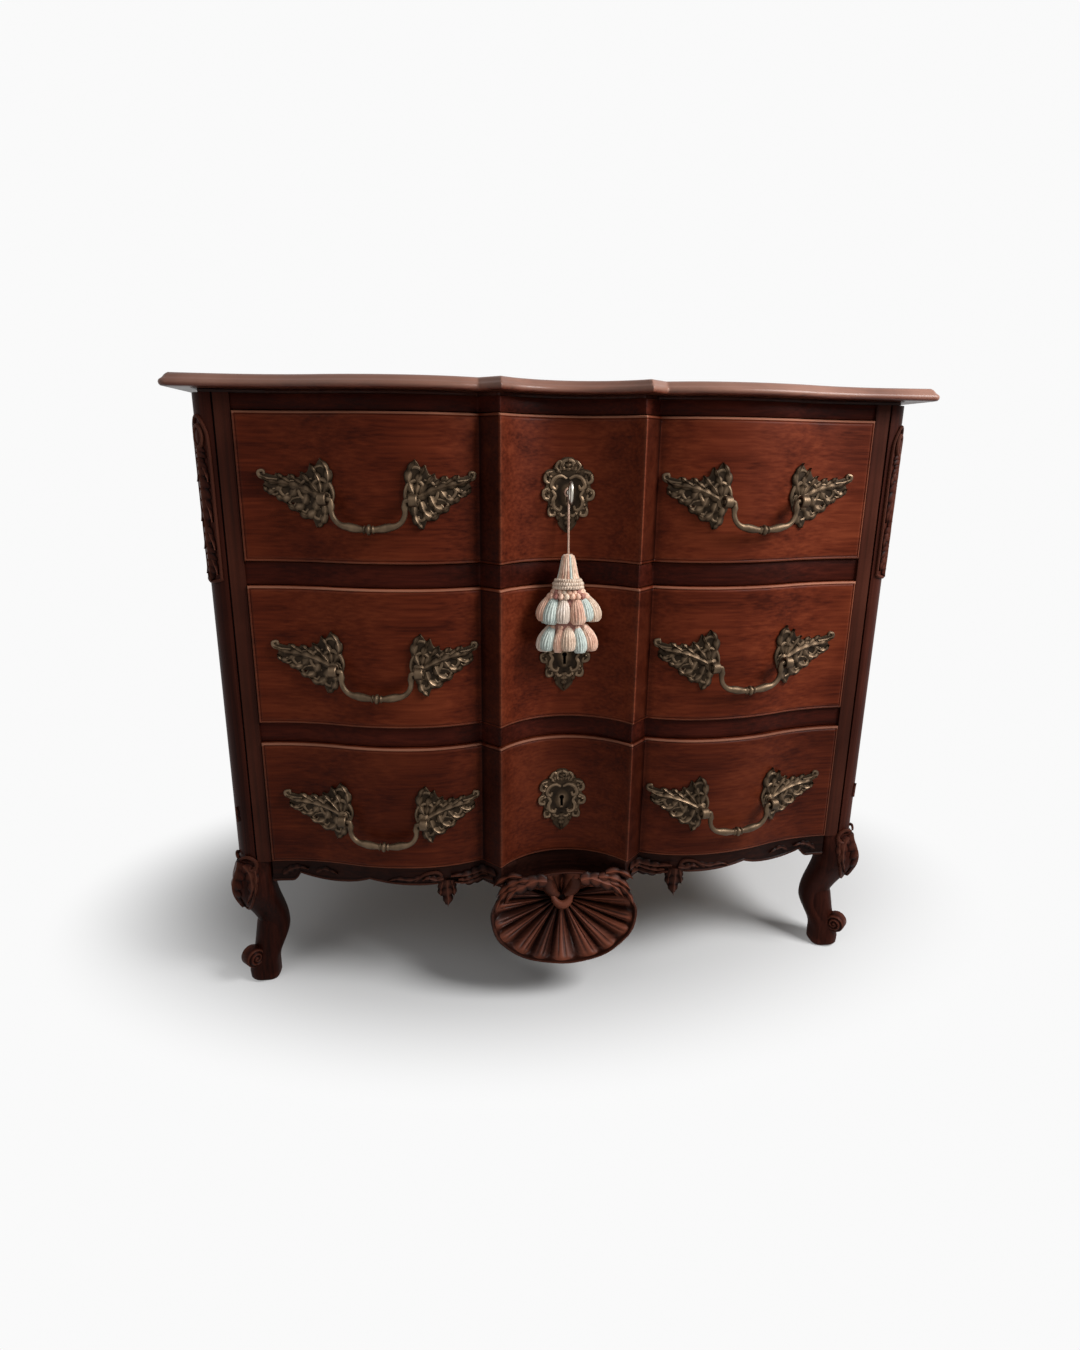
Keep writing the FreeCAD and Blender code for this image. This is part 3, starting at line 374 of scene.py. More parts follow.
# %% [markdown]
# ## Scrolls and outlines
# Scrolls frame the leaves, in bronze and in wood: bars laid along a surface, thinner at their
# ends. Cut plates begin as an outline. It is measured out again at even turns about a middle, so
# that smaller rings of it can be drawn inside without crossing.

# %% Scrolls and outlines


def bead_line(mould, points, radius, lay, count=30, taper=0.5, sides=8, wear=0.4):
    """A raised scroll line laid on a surface, thinner towards its ends."""
    path = [lay(px, pz, radius * 0.5) for px, pz in smooth(points, count)]
    swells = [math.sin(math.pi * (0.04 + 0.92 * i / (count - 1))) for i in range(count)]
    tube(mould, path, [radius * (taper + (1 - taper) * swell) for swell in swells], sides=sides, wear=wear)


def even_outline(points, centre, count):
    """Points of a closed smooth outline at even turns about a centre that sees all of it."""
    full = 2 * math.pi
    cu, cv = centre
    dense = smooth([*points, points[0]], 12 * len(points) + 1)[:-1]
    polar = sorted((math.atan2(v - cv, u - cu) % full, math.hypot(u - cu, v - cv)) for u, v in dense)
    polar = [(polar[-1][0] - full, polar[-1][1]), *polar, (polar[0][0] + full, polar[0][1])]
    outline, k = [], 0
    for turn in turns(count):
        while polar[k + 1][0] < turn:
            k += 1
        (t0, r0), (t1, r1) = polar[k], polar[k + 1]
        reach = r0 + (r1 - r0) * (turn - t0) / max(1e-9, t1 - t0)
        outline.append((cu + reach * math.cos(turn), cv + reach * math.sin(turn)))
    return outline


square = ((1, 0), (0, 1), (-1, 0), (0, -1))
print("smooth ring from four corners", [(round(u, 2), round(v, 2)) for u, v in even_outline(square, (0, 0), 8)])

# %% [markdown]
# ## Finishes
# A finish is a small tree of nodes. These helpers add a node and fill its inputs in one call, so
# that each finish below reads like a recipe. Constant values are set on the node's own sockets.
# Noise lies in the object's own coordinates, so that it stays with a drawer that slides.

# %% Node helpers


def fill(tree, node, inputs):
    """Sets a node's inputs, by a link where the value is another node's socket."""
    for key, value in inputs.items():
        if isinstance(value, bpy.types.NodeSocket):
            tree.links.new(value, node.inputs[key])
        else:
            node.inputs[key].default_value = value


def add_node(tree, kind, inputs=None, out=0, **settings):
    """One shader node with its settings and inputs; gives back the output that is asked for."""
    made = tree.nodes.new("ShaderNode" + kind)
    for key, value in settings.items():
        setattr(made, key, value)
    fill(tree, made, inputs or {})
    return made.outputs[out]


def blank_finish(name):
    """A new material with one shader, and its tree."""
    finish = bpy.data.materials.new(name)
    finish.use_nodes = True
    return finish, finish.node_tree, finish.node_tree.nodes["Principled BSDF"]


def ramp(tree, factor, stops):
    """A colour ramp from places and colours."""
    colour = add_node(tree, "ValToRGB", {"Fac": factor}, "Color")
    elements = colour.node.color_ramp.elements
    while len(elements) < len(stops):
        elements.new(0.5)
    for element, (place, tone) in zip(elements, stops):
        element.position = place
        element.color = (*tone, 1.0)
    return colour


def blend_colour(tree, share, first, second):
    return add_node(tree, "Mix", {0: share, 6: first, 7: second}, 2, data_type="RGBA")


def ranged(tree, value, low, high, to_low=0.0, to_high=1.0, **settings):
    """A value carried from one range to another."""
    return add_node(tree, "MapRange", {"Value": value, "From Min": low, "From Max": high,
                                       "To Min": to_low, "To Max": to_high}, **settings)


def noise(tree, scale, detail, distortion=0.0, stretch=(1.0, 1.0, 1.0)):
    """Noise in the object's coordinates, stretched along the grain where asked."""
    spread = add_node(tree, "Mapping", {"Vector": add_node(tree, "TexCoord", out="Object"), "Scale": stretch})
    return add_node(tree, "TexNoise", {"Vector": spread, "Scale": scale, "Detail": detail,
                                       "Distortion": distortion}, "Fac")


def weighted(tree, first, first_share, second, second_share):
    """Sum of two values, each times its share."""
    left = add_node(tree, "Math", {0: first, 1: first_share}, operation="MULTIPLY")
    return add_node(tree, "Math", {0: second, 1: second_share, 2: left}, operation="MULTIPLY_ADD")


print("node helpers ready")

# %% [markdown]
# ## Wear, dust and painted light
# Old furniture is pale where it is rubbed and dark where dust lies. Both come from the relief
# attribute that each piece carries, and so do the painted highlights and painted shade laid in
# some places. Wear is broken up by noise, because nothing rubs evenly. A node that finds hollows
# by itself could be used, but here the maker decides where hands have been.

# %% Wear, dust and painted light


def relief_times(tree, factor):
    """The relief attribute times a factor, held between zero and one."""
    mark = add_node(tree, "Attribute", out="Fac", attribute_name="relief")
    return add_node(tree, "Math", {0: mark, 1: factor}, operation="MULTIPLY", use_clamp=True)


def wear_and_highlight_share(tree, clouds):
    """How worn a place is, and how strong its painted highlight, broken up by noise."""
    return relief_times(tree, ranged(tree, clouds, 0.3, 0.65, 0.45, 1.0))


def dress(tree, shader, colour, dark, dust, height, strength, distance, inputs):
    """Lays dust and painted shade, a share of the dark tone, in the hollows and on shaded faces, adds a fine bump,
    and fills the shader.
    """
    # Dust and painted shade share this darker tone.
    dust_and_shade = (*(dust * channel for channel in dark), 1.0)
    colour = blend_colour(tree, relief_times(tree, -1.0), colour, dust_and_shade)
    bump = add_node(tree, "Bump", {"Height": height, "Strength": strength, "Distance": distance})
    fill(tree, shader, {"Base Color": colour, "Normal": bump, **inputs})


print("wear and dust read the attribute relief")

# %% [markdown]
# ## Wood
# The wood is a red-brown fruitwood under old wax: fine grain, cloudy patches, dark pores, and
# paler edges. Three noises at different stretches make it, laid in the object's own coordinates so
# that the grain runs with each board. A photograph of wood could be wrapped on instead, but it
# would stretch over the carving. The inside is plain and pale, as drawer linings are.

# %% Wood


def wood(name, way, dark, middle, light, worn_and_highlight_tone, rough_low=0.36, rough_high=0.52, shine=0.08):
    """Waxed wood whose grain runs the given way."""
    def stretch(long, short):
        return [long if axis == way else short for axis in ("across", "depthwise", "upright")]

    finish, tree, shader = blank_finish(name)
    figure = noise(tree, 3.2, 6.0, 0.5, stretch(0.45, 14.0))
    pores = noise(tree, 1.0, 3.0, 0.0, stretch(4.0, 260.0))
    clouds = noise(tree, 5.5, 5.0, 0.6)
    grain = weighted(tree, figure, 0.5, pores, 0.5)
    mixed = weighted(tree, grain, 0.62, clouds, 0.38)
    colour = ramp(tree, mixed, [(0.37, dark), (0.5, middle), (0.63, light)])
    # The worn tone also gives the painted highlights on beads and ribs.
    colour = blend_colour(tree, wear_and_highlight_share(tree, clouds), colour, (*worn_and_highlight_tone, 1.0))
    rough = ranged(tree, grain, 0.35, 0.65, rough_low, rough_high)
    dress(tree, shader, colour, dark, 0.22, grain, 0.12, 0.0006, {"Roughness": rough, "Specular IOR Level": shine})
    return finish


drawer_wood = wood("waxed_drawer_wood", "across", (0.035, 0.0052, 0.0020), (0.086, 0.0145, 0.0052),
                   (0.138, 0.0270, 0.0096), (0.33, 0.140, 0.085), shine=0.045)
# The bottom drawer's wood is the drawer wood painted darker, as painted shade on the lowest drawer.
shaded_drawer_wood = wood("painted_shade_drawer_wood", "across", (0.025, 0.0037, 0.0015), (0.060, 0.0102, 0.0037),
                       (0.097, 0.0188, 0.0068), (0.25, 0.105, 0.064), shine=0.045)
rail_wood = wood("waxed_rail_wood", "across", (0.013, 0.0024, 0.0013), (0.034, 0.0055, 0.0028),
                 (0.062, 0.0110, 0.0055), (0.12, 0.034, 0.018), shine=0.04)
post_wood = wood("waxed_post_wood", "upright", (0.011, 0.0026, 0.0015), (0.030, 0.0065, 0.0036),
                 (0.055, 0.0130, 0.0075), (0.105, 0.036, 0.022), shine=0.04)
carved_wood = wood("carved_wood", "across", (0.008, 0.0024, 0.0015), (0.024, 0.0066, 0.0038),
                   (0.054, 0.0160, 0.0090), (0.165, 0.048, 0.026), shine=0.09)
apron_wood = wood("dark_apron_wood", "across", (0.005, 0.0017, 0.0012), (0.013, 0.0040, 0.0027),
                  (0.028, 0.0080, 0.0046), (0.070, 0.024, 0.015), shine=0.04)
top_wood = wood("waxed_top_wood", "across", (0.040, 0.0100, 0.0056), (0.100, 0.0250, 0.0135),
                (0.170, 0.050, 0.028), (0.27, 0.145, 0.105), 0.28, 0.44, 0.2)
side_wood = wood("waxed_side_wood", "upright", (0.018, 0.0042, 0.0022), (0.048, 0.0102, 0.0052),
                 (0.084, 0.021, 0.0102), (0.14, 0.046, 0.026))
inner_wood = wood("plain_drawer_wood", "depthwise", (0.16, 0.088, 0.042), (0.27, 0.165, 0.085),
                  (0.36, 0.235, 0.130), (0.42, 0.30, 0.19), 0.55, 0.75, 0.2)
level_wood = wood("plain_board_wood", "across", (0.14, 0.078, 0.038), (0.24, 0.148, 0.078),
                  (0.33, 0.215, 0.120), (0.40, 0.28, 0.18), 0.55, 0.78, 0.2)
print("wood finishes", 10)

# %% [markdown]
# ## Metal and thread
# The bronze is dark brown in its hollows and pale where it is touched, so its colour and its
# gloss both follow wear. The locks are plain iron and the key is rubbed steel. Silk is soft and
# has a sheen at its edges; its fine strands are noise stretched along the hang of the tassel.

# %% Metal and thread


def metal(name, dark, middle, pale, rough_low, rough_high, metallic):
    """Cast or forged metal, dark in its hollows and pale where it is handled."""
    finish, tree, shader = blank_finish(name)
    clouds = noise(tree, 60.0, 5.0, 0.3)
    worn = wear_and_highlight_share(tree, clouds)
    colour = blend_colour(tree, worn, ramp(tree, clouds, [(0.38, dark), (0.62, middle)]), (*pale, 1.0))
    rough = ranged(tree, worn, 0.0, 1.0, rough_high, rough_low)
    dress(tree, shader, colour, dark, 0.3, noise(tree, 420.0, 3.0), 0.2, 0.0004,
          {"Roughness": rough, "Metallic": metallic})
    return finish


def thread(name, shade, tone, pale):
    """Silky thread with fine hanging strands."""
    finish, tree, shader = blank_finish(name)
    strands = noise(tree, 1.0, 3.0, 0.0, (700.0, 700.0, 22.0))
    mixed = weighted(tree, strands, 0.55, noise(tree, 70.0, 3.0), 0.45)
    colour = ramp(tree, mixed, [(0.36, shade), (0.5, tone), (0.64, pale)])
    dress(tree, shader, colour, shade, 0.35, strands, 0.4, 0.0012,
          {"Roughness": 0.62, "Sheen Weight": 0.25, "Sheen Roughness": 0.4})
    return finish


bronze = metal("dark_bronze", (0.025, 0.0152, 0.0082), (0.055, 0.0345, 0.0190), (0.195, 0.132, 0.082),
               0.36, 0.55, 0.9)
iron = metal("lock_iron", (0.045, 0.040, 0.036), (0.110, 0.095, 0.082), (0.30, 0.27, 0.24), 0.40, 0.65, 0.85)
key_metal = metal("worn_key_steel", (0.20, 0.18, 0.15), (0.42, 0.38, 0.32), (0.72, 0.68, 0.60), 0.25, 0.42, 1.0)
cream_thread = thread("cream_thread", (0.44, 0.29, 0.20), (0.68, 0.49, 0.36), (0.84, 0.68, 0.54))
white_thread = thread("white_thread", (0.48, 0.38, 0.30), (0.72, 0.58, 0.48), (0.86, 0.76, 0.68))
peach_thread = thread("peach_thread", (0.44, 0.21, 0.14), (0.68, 0.40, 0.28), (0.84, 0.60, 0.47))
rose_thread = thread("rose_thread", (0.16, 0.05, 0.035), (0.30, 0.11, 0.08), (0.46, 0.22, 0.17))
sea_thread = thread("pale_sea_thread", (0.28, 0.34, 0.31), (0.49, 0.55, 0.50), (0.66, 0.71, 0.65))
collar_thread = thread("beige_collar_thread", (0.36, 0.26, 0.19), (0.56, 0.42, 0.32), (0.72, 0.58, 0.46))
cord_thread = thread("beige_cord_thread", (0.28, 0.14, 0.10), (0.44, 0.26, 0.18), (0.60, 0.42, 0.32))
print("metals 3, threads 7")

# %% [markdown]
# ## Key cord and tassel
# A silk tassel hangs from the key of the top drawer on a short cord. The cord is one smooth
# NURBS line from the loop on the key's bow to the tassel's head. A bar of points would look
# the same, but couldn't be told from a rod.

# %% Cord and loop
key_height = 822.0
tassel_y = -22.0
lean = math.radians(5.5)
cord_radius, cord_drop, loop_radius = 1.6, 90.0, 5.5
head_height, collar_height, tier_height, lower_tier_height = 36.0, 16.0, 53.0, 41.0
tassel_half_x, tassel_half_y = 53.0, 26.0


def hang(x, y, drop):
    """A point of the tassel from its place across, out and down the leaning line."""
    return (x, tassel_y + y * math.cos(lean) - drop * math.sin(lean),
            key_height - drop * math.cos(lean) - y * math.sin(lean))


def hang_round(turn, wide, deep, drop):
    """The same, from a turn about that line and the reach across and out."""
    return hang(wide * math.cos(turn), deep * math.sin(turn), drop)


cord_drops = (loop_radius, 34.0, 62.0, cord_drop)
cord_curve = bpy.data.curves.new("tassel_string", "CURVE")
cord_curve.dimensions = "3D"
cord_curve.bevel_depth = cord_radius * millimetre
cord_curve.bevel_resolution = 3
cord_line = cord_curve.splines.new("NURBS")
cord_line.points.add(len(cord_drops) - 1)
for point, drop in zip(cord_line.points, cord_drops):
    point.co = (*frame_point(*hang(0.0, 0.0, drop)), 1.0)
cord_line.order_u = 3
cord_line.use_endpoint_u = True
cord_line.resolution_u = 8
cord_curve.materials.append(cord_thread)
cord_piece = placed("tassel_string", cord_curve)
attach(cord_piece, "tassel")
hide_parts("tassel_cord")

loop = Mould()
ring = [(loop_radius * math.sin(turn), tassel_y, key_height + loop_radius * math.cos(turn))
        for turn in turns(28, closed=True)]
tube(loop, ring, [cord_radius] * len(ring), sides=10, wear=0.0)
loop_piece = piece("tassel_loop", loop, [cord_thread], "tassel", "tassel")

# %% [markdown]
# The head is a bundle of strands over a core, and three wound rings bind it. Every other ring is
# turned by half a knot, as rows of knots are. Each strand is a bar of its own, because painted
# lines would look flat so near the camera.

# %% Tassel head
head = Mould()
head_profile = [(0, 2.5), (1, 5.8), (3, 8.0), (8, 9.4), (18, 11.2), (28, 13.0), (37, 15.0)]
head_tones = (0, 0, 2, 0, 2, 3)
tube(head, [hang(0, 0, cord_drop + d) for d, r in head_profile], [0.92 * r for d, r in head_profile],
     sides=40, wear=-0.4)
for i, turn in enumerate(turns(22)):
    path = [hang_round(turn, r, r, cord_drop + d) for d, r in head_profile]
    tube(head, path, [0.14 * r + 0.2 for d, r in head_profile], sides=8,
         tone=head_tones[i % len(head_tones)], wear=0.0)
knot_count, knot_radius, knot_swell = 36, 2.9, 0.16
for band, (drop, reach) in enumerate(((38.5, 18.0), (43.5, 20.6), (48.5, 20.8))):
    wound = turns(2 * knot_count, closed=True)
    knots = [knot_radius * (1 + knot_swell * math.cos(knot_count * turn + math.pi * band)) for turn in wound]
    path = [hang_round(turn, reach, reach, cord_drop + drop) for turn in wound]
    tube(head, path, knots, sides=10, tone=1, wear=0.0)
head_piece = piece("tassel_head_bound", head, [cream_thread, collar_thread, peach_thread, sea_thread],
                   "tassel", "tassel", "tassel_head")

# %% [markdown]
# The tufts come in two tiers. A knotted ruffle hides where the upper tier is bound under the
# collar. Each tuft is one ridged bar that starts thin at its binding and ends in a blunt cut, and
# a rose core closes the dark gaps between them. One tuft of the lower tier is thinner, as if
# parted. Hair strands would look softer, but bars can be exported with the part.

# %% Tassel tufts
random.seed(11)
tufts = Mould()
tier_top = cord_drop + head_height + collar_height
tuft_count = 12
tuft_shape = (0.30, 0.39, 0.49, 0.60, 0.72, 0.83, 0.92, 0.99, 1.03, 1.02, 0.93, 0.64)
tuft_tones = (0, 2, 0, 3, 2, 1, 0, 2, 3, 0, 2, 1)
lower_tones = [tuft_tones[(i * 5 + 2) % tuft_count] for i in range(tuft_count)]
parted_tuft, parted_share = 8, 0.6


def tuft(turn, high, low, inner, outer, fat, tone):
    """A bundle of thread, bound at the top, that spreads outward and is cut below."""
    grow = outer - inner
    line = smooth([(inner, 0.0), (inner + 0.45 * grow, 0.28), (inner + 0.85 * grow, 0.62), (outer, 1.0)],
                  len(tuft_shape))
    path = [hang_round(turn, tassel_half_x * share, 0.8 * tassel_half_y * share, high + (low - high) * fall)
            for share, fall in line]
    tube(tufts, path, [fat * s for s in tuft_shape], sides=56, tone=tone, strands=16, strand_depth=0.05,
         wear=-0.05, flat=0.85)
    bind = [hang_round(turn, tassel_half_x * inner * 1.1, 0.9 * tassel_half_y * inner, high + d)
            for d in (0.0, 1.5, 4.0, 6.5, 8.0)]
    tube(tufts, bind, [1.6, 4.2, 5.0, 4.2, 1.6], sides=12, wear=0.0)


def tier(shift, high, low, inner, spread, fatness, tones, parted=None):
    """A ring of tufts, each a little off in its turn, cut, spread and fatness."""
    for i in range(tuft_count):
        turn = 2 * math.pi * (i + shift) / tuft_count + random.uniform(-0.07, 0.07)
        cut = low + random.uniform(-4.0, 2.0)
        outer = random.uniform(*spread)
        fat = (parted_share if i == parted else 1.0) * random.uniform(*fatness)
        tuft(turn, high, cut, inner, outer, fat, tones[i])


lower_top = tier_top + tier_height
tier(0.5, tier_top + 8, lower_top - 3, 0.50, (0.72, 0.79), (10.4, 12.8), tuft_tones)
tier(0.0, lower_top - 1, lower_top + lower_tier_height - 1, 0.46, (0.69, 0.77), (10.2, 12.6), lower_tones,
     parted_tuft)
ruffle_count, ruffle_tones = 20, (0, 0, 4, 0, 1)
for i in range(2 * ruffle_count):
    row, place = divmod(i, ruffle_count)
    turn = 2 * math.pi * (place + 0.5 * row) / ruffle_count
    reach, drop = 0.42 + 0.11 * row, tier_top + 2.5 + 6.5 * row
    curl = [hang_round(turn, tassel_half_x * (reach + d * 0.006), 0.95 * tassel_half_y * (reach + 0.15), drop + d)
            for d in (-4.0, -2.0, 1.0, 4.0, 5.5)]
    tube(tufts, curl, [1.4, 3.4, 4.6, 3.8, 1.2], sides=10, tone=ruffle_tones[i % 5], wear=0.0)
core = [hang(0, 0, tier_top + d) for d in (-6, 10, 45, 84)]
tube(tufts, core, [15, 24, 25, 20], sides=32, tone=4, wear=-0.3, flat=0.62)
piece("tassel_tufts", tufts, [peach_thread, cream_thread, sea_thread, white_thread, rose_thread],
      "tassel", "tassel", "tassel_skirts")

frame_point(*hang(0.0, 0.0, loop_radius))
print("cord length", cord_drop - loop_radius)

# %% [markdown]
# ## The top
# The top is one thick board whose edge is rubbed to a soft thumb moulding. Rings of the outline
# are drawn in a little at each height of the moulding, and the flat is filled last. The front is
# drawn in straight back and the ends straight in, so that the rings never cross at the sharp
# arris. At the corners they are drawn in no further than the corner's own radius.

# %% Outline of the top
slab_low, slab_high, bearing_low = 958.0, 976.0, 953.0
top_half, top_back, top_shift, top_corner = 560.0, 502.0, 28.0, 14.0
corner_start, corner_inset = top_half - top_corner, 0.95 * top_corner
top_profile = [(16, 0.0), (6, 0.0), (2.6, 0.7), (0.7, 2.6), (0, 5.2), (0.6, 7.6), (2.2, 9.4), (4.4, 10.6),
               (6.4, 12.4), (8.4, 14.8), (11.0, 16.8), (14.5, 17.8), (18.0, 18.0)]
rubbed_low, rubbed_high, shaded_high = 5, 17.5, 2.0
end_front, end_side = end_depth - top_shift, end_depth - top_shift + top_corner
top_end = [(corner_start + top_corner * math.sin(turn), end_front + top_corner * (1 - math.cos(turn)),
            -math.sin(turn), math.cos(turn)) for turn in turns(12, quarter, True)]
top_end += [(top_half, end_side + (top_back - end_side) * i / 12, -1.0, 0.0) for i in range(1, 13)]
top_outline = [(x, face(x) - top_shift, 0.0, 1.0) for x in across_places(drawer_half, 8.0)]
top_outline += top_end + [(-x, y, -dx, dy) for x, y, dx, dy in reversed(top_end)]


def top_edge(step, place):
    """A point of the moulding: the outline drawn in by the step's inset, at its height."""
    (inset, rise), (x, y, dx, dy) = step, place
    held = min(inset, corner_inset) if abs(x) > corner_start - 0.1 else inset
    wear = 0.75 if rubbed_low < rise < rubbed_high else -0.2 if rise < shaded_high else 0.2
    return (x + dx * held, y + dy * held, slab_low + rise), wear


print("places on the top's outline", len(top_outline))

# %% [markdown]
# ## Boards
# Two plain boards come back below: one whose front follows the crossbow line, and one with
# straight sides. Both have eased edges, because no old edge is sharp; a bevel modifier could ease
# them, but would have to be kept off the crossbow's corners. The top needs both for the fillet that
# it bears on, and four turned pegs hold it.

# %% Boards, top and pegs
bar_step = 8.0


def crossbow_bar(mould, half, recess, back, low, high, ease=2.0, wear=0.5, pocket=None):
    """A board whose front follows the crossbow line, with eased front edges and a pocket below where asked."""
    pocket_half, near, far, deep = pocket or (0.0, back - 2.0, back - 1.0, 0.0)
    places = across_places(half, bar_step, (-pocket_half, pocket_half))
    rows = []
    for x in places:
        front = face(x) + recess
        rows.append([(x, back, low), (x, far, low), (x, near, low), (x, front + ease, low),
                     (x, front + 0.3 * ease, low + 0.3 * ease), (x, front, low + ease), (x, front, high - ease),
                     (x, front + 0.3 * ease, high - 0.3 * ease), (x, front + ease, high), (x, back, high)])
    worn = [[-0.3, -0.3, -0.3, -0.2, wear * 0.5, 0.0, 0.0, wear, 0.0, -0.3]] * len(places)
    inside = [r for r, x in enumerate(places[:-1]) if -pocket_half <= x < pocket_half]
    mould.add(rows, worn, around=True, caps=True, skip={(r, 1) for r in inside})
    if pocket:
        wide = [places[r] for r in inside] + [pocket_half]
        run = [(x, near) for x in wide] + [(x, far) for x in reversed(wide)]
        mould.add([[(x, y, z) for x, y in run] for z in (low, low + deep)], hidden_wear, around=True)
        mould.add([[(x, y, low + deep) for x in wide] for y in (near, far)], hidden_wear)


def box_block(mould, x0, x1, y0, y1, z0, z1, ease=1.0, wear=0.4):
    """A board with eased edges. Its walls stand one ease inside the given sizes and cross near the
    corners, where a narrow bevel joins their ends."""
    rows = []
    for z, inset in ((z0, ease), (z0 + ease, 0), (z1 - ease, 0), (z1, ease)):
        a, b, c, d = x0 + inset, x1 - inset, y0 + inset, y1 - inset
        rows.append([(a + ease, c, z), (a, c + ease, z), (b, c + ease, z), (b - ease, c, z),
                     (b - ease, d, z), (b, d - ease, z), (a, d - ease, z), (a + ease, d, z)])
    mould.add(rows, wear, around=True, caps=True)


top = Mould()
top.weave(top_profile, top_outline, top_edge, around=True, caps=True)
bearing_recess, bearing_half, bearing_front, bearing_back = 20.0, 520, 12, 478.0
crossbow_bar(top, drawer_half, bearing_recess, bearing_back, bearing_low, slab_low + 0.4, ease=0.8, wear=-0.4)
box_block(top, -bearing_half, bearing_half, bearing_front, bearing_back, bearing_low, slab_low + 0.3, wear=-0.4)
piece("moulded_top", top, [top_wood], "carcass", "show_wood", "top_panel")

pegs = Mould()
peg_length = 36.0
peg_profile = [(0, 4.6), (peg_length - 0.4, 4.8), (peg_length + 0.2, 4.6), (peg_length + 0.5, 4.0)]
for x, y in ((503.5, 32.0), (-503.5, 32.0), (507.0, 465.0), (-507.0, 465.0)):
    turned_bar(pegs, (x, y, slab_high - peg_length), (0, 0, 1), peg_profile, sides=14, wear=0.3)
piece("peg_heads", pegs, [rail_wood], "carcass", "show_wood", "top_pegs")

# %% [markdown]
# ## Rails between the drawers
# The frieze and the two rails repeat the crossbow line a little behind the drawers, so that the
# drawer lips cast a thin shadow on them. A small pocket under each takes the bolt of the drawer
# below. It is cut by leaving faces out of the underside and lining the hole, which is cleaner
# than a boolean.

# %% Rails
bolt_pocket = (9.8, 17.2, 26.8, 9.8)
rail_back = 64.0
for name, low, high in (("front_top_rail", 931.0, 953.0), ("upper_drawer_rail", 685.0, 719.0),
                        ("lower_drawer_rail", 438.0, 469.0)):
    bar = Mould()
    crossbow_bar(bar, drawer_half, rail_recess, rail_back, low, high, pocket=bolt_pocket)
    piece(name + "_shaped", bar, [rail_wood], "carcass", "show_wood", name)

# %% [markdown]
# ## Drawer fronts
# Each front is a thick board sawn to the crossbow line, with a moulded lip: a rounded bead at the
# edge, a quirk painted dark as a painted shadow line, and the plain field. The distance to the
# nearest edge sets the depth of each point, which mitres the moulding at the corners by itself.
# The bead is paler from wear and from a painted highlight, most of all the upper bead, where the
# light catches it. The steps beside the arrises get painted shade, and a painted shadow lies beside
# each shoulder. The keyhole is a real hole through the board, made by leaving out cells of the grid.

# %% Drawer fronts
front_half, front_back, front_step, field_rows = 474.0, 16.0, 7.0, 12
drawers = {"top": (720.0, 930.0), "middle": (470.0, 684.0), "bottom": (231.0, 437.0)}
key_below = 3.0
# The third number is the wear. It also paints the bead paler, partly as a painted highlight, and the quirk darker,
# as a painted shadow line.
lip = [(0.0, 4.6, 0.0), (0.4, 2.9, 0.15), (1.2, 1.4, 0.25), (2.2, 0.7, 0.3), (3.2, 0.7, 0.15), (3.9, 1.3, -0.25),
       (4.6, 1.4, -0.25), (5.4, 0.6, 0.0), (6.4, 0.1, 0.05), (8.0, 0.0, 0.0)]
# The upper bead gets a painted highlight, where the light catches it.
top_bead, top_bead_glint = 4.0, 0.6
# The step faces between each arris and its shoulder are painted darker, as painted shade, and a painted shadow
# lies beside each shoulder.
step_shade, rub_width, shadow_width = 0.65, 4.0, 6.0
keyhole_half, keyhole_rise, keyhole_fall = 3.2, 3.4, 17.0


def drawer_middle(name):
    return sum(drawers[name]) / 2


def lip_at(distance):
    """Depth and wear of the lip at a distance from the edge; the wear also holds the bead's painted highlight and
    the quirk's painted shadow.
    """
    for (d0, v0, w0), (d1, v1, w1) in zip(lip, lip[1:]):
        if distance <= d1:
            share = (distance - d0) / (d1 - d0)
            return v0 + share * (v1 - v0), w0 + share * (w1 - w0)
    return 0.0, 0.0


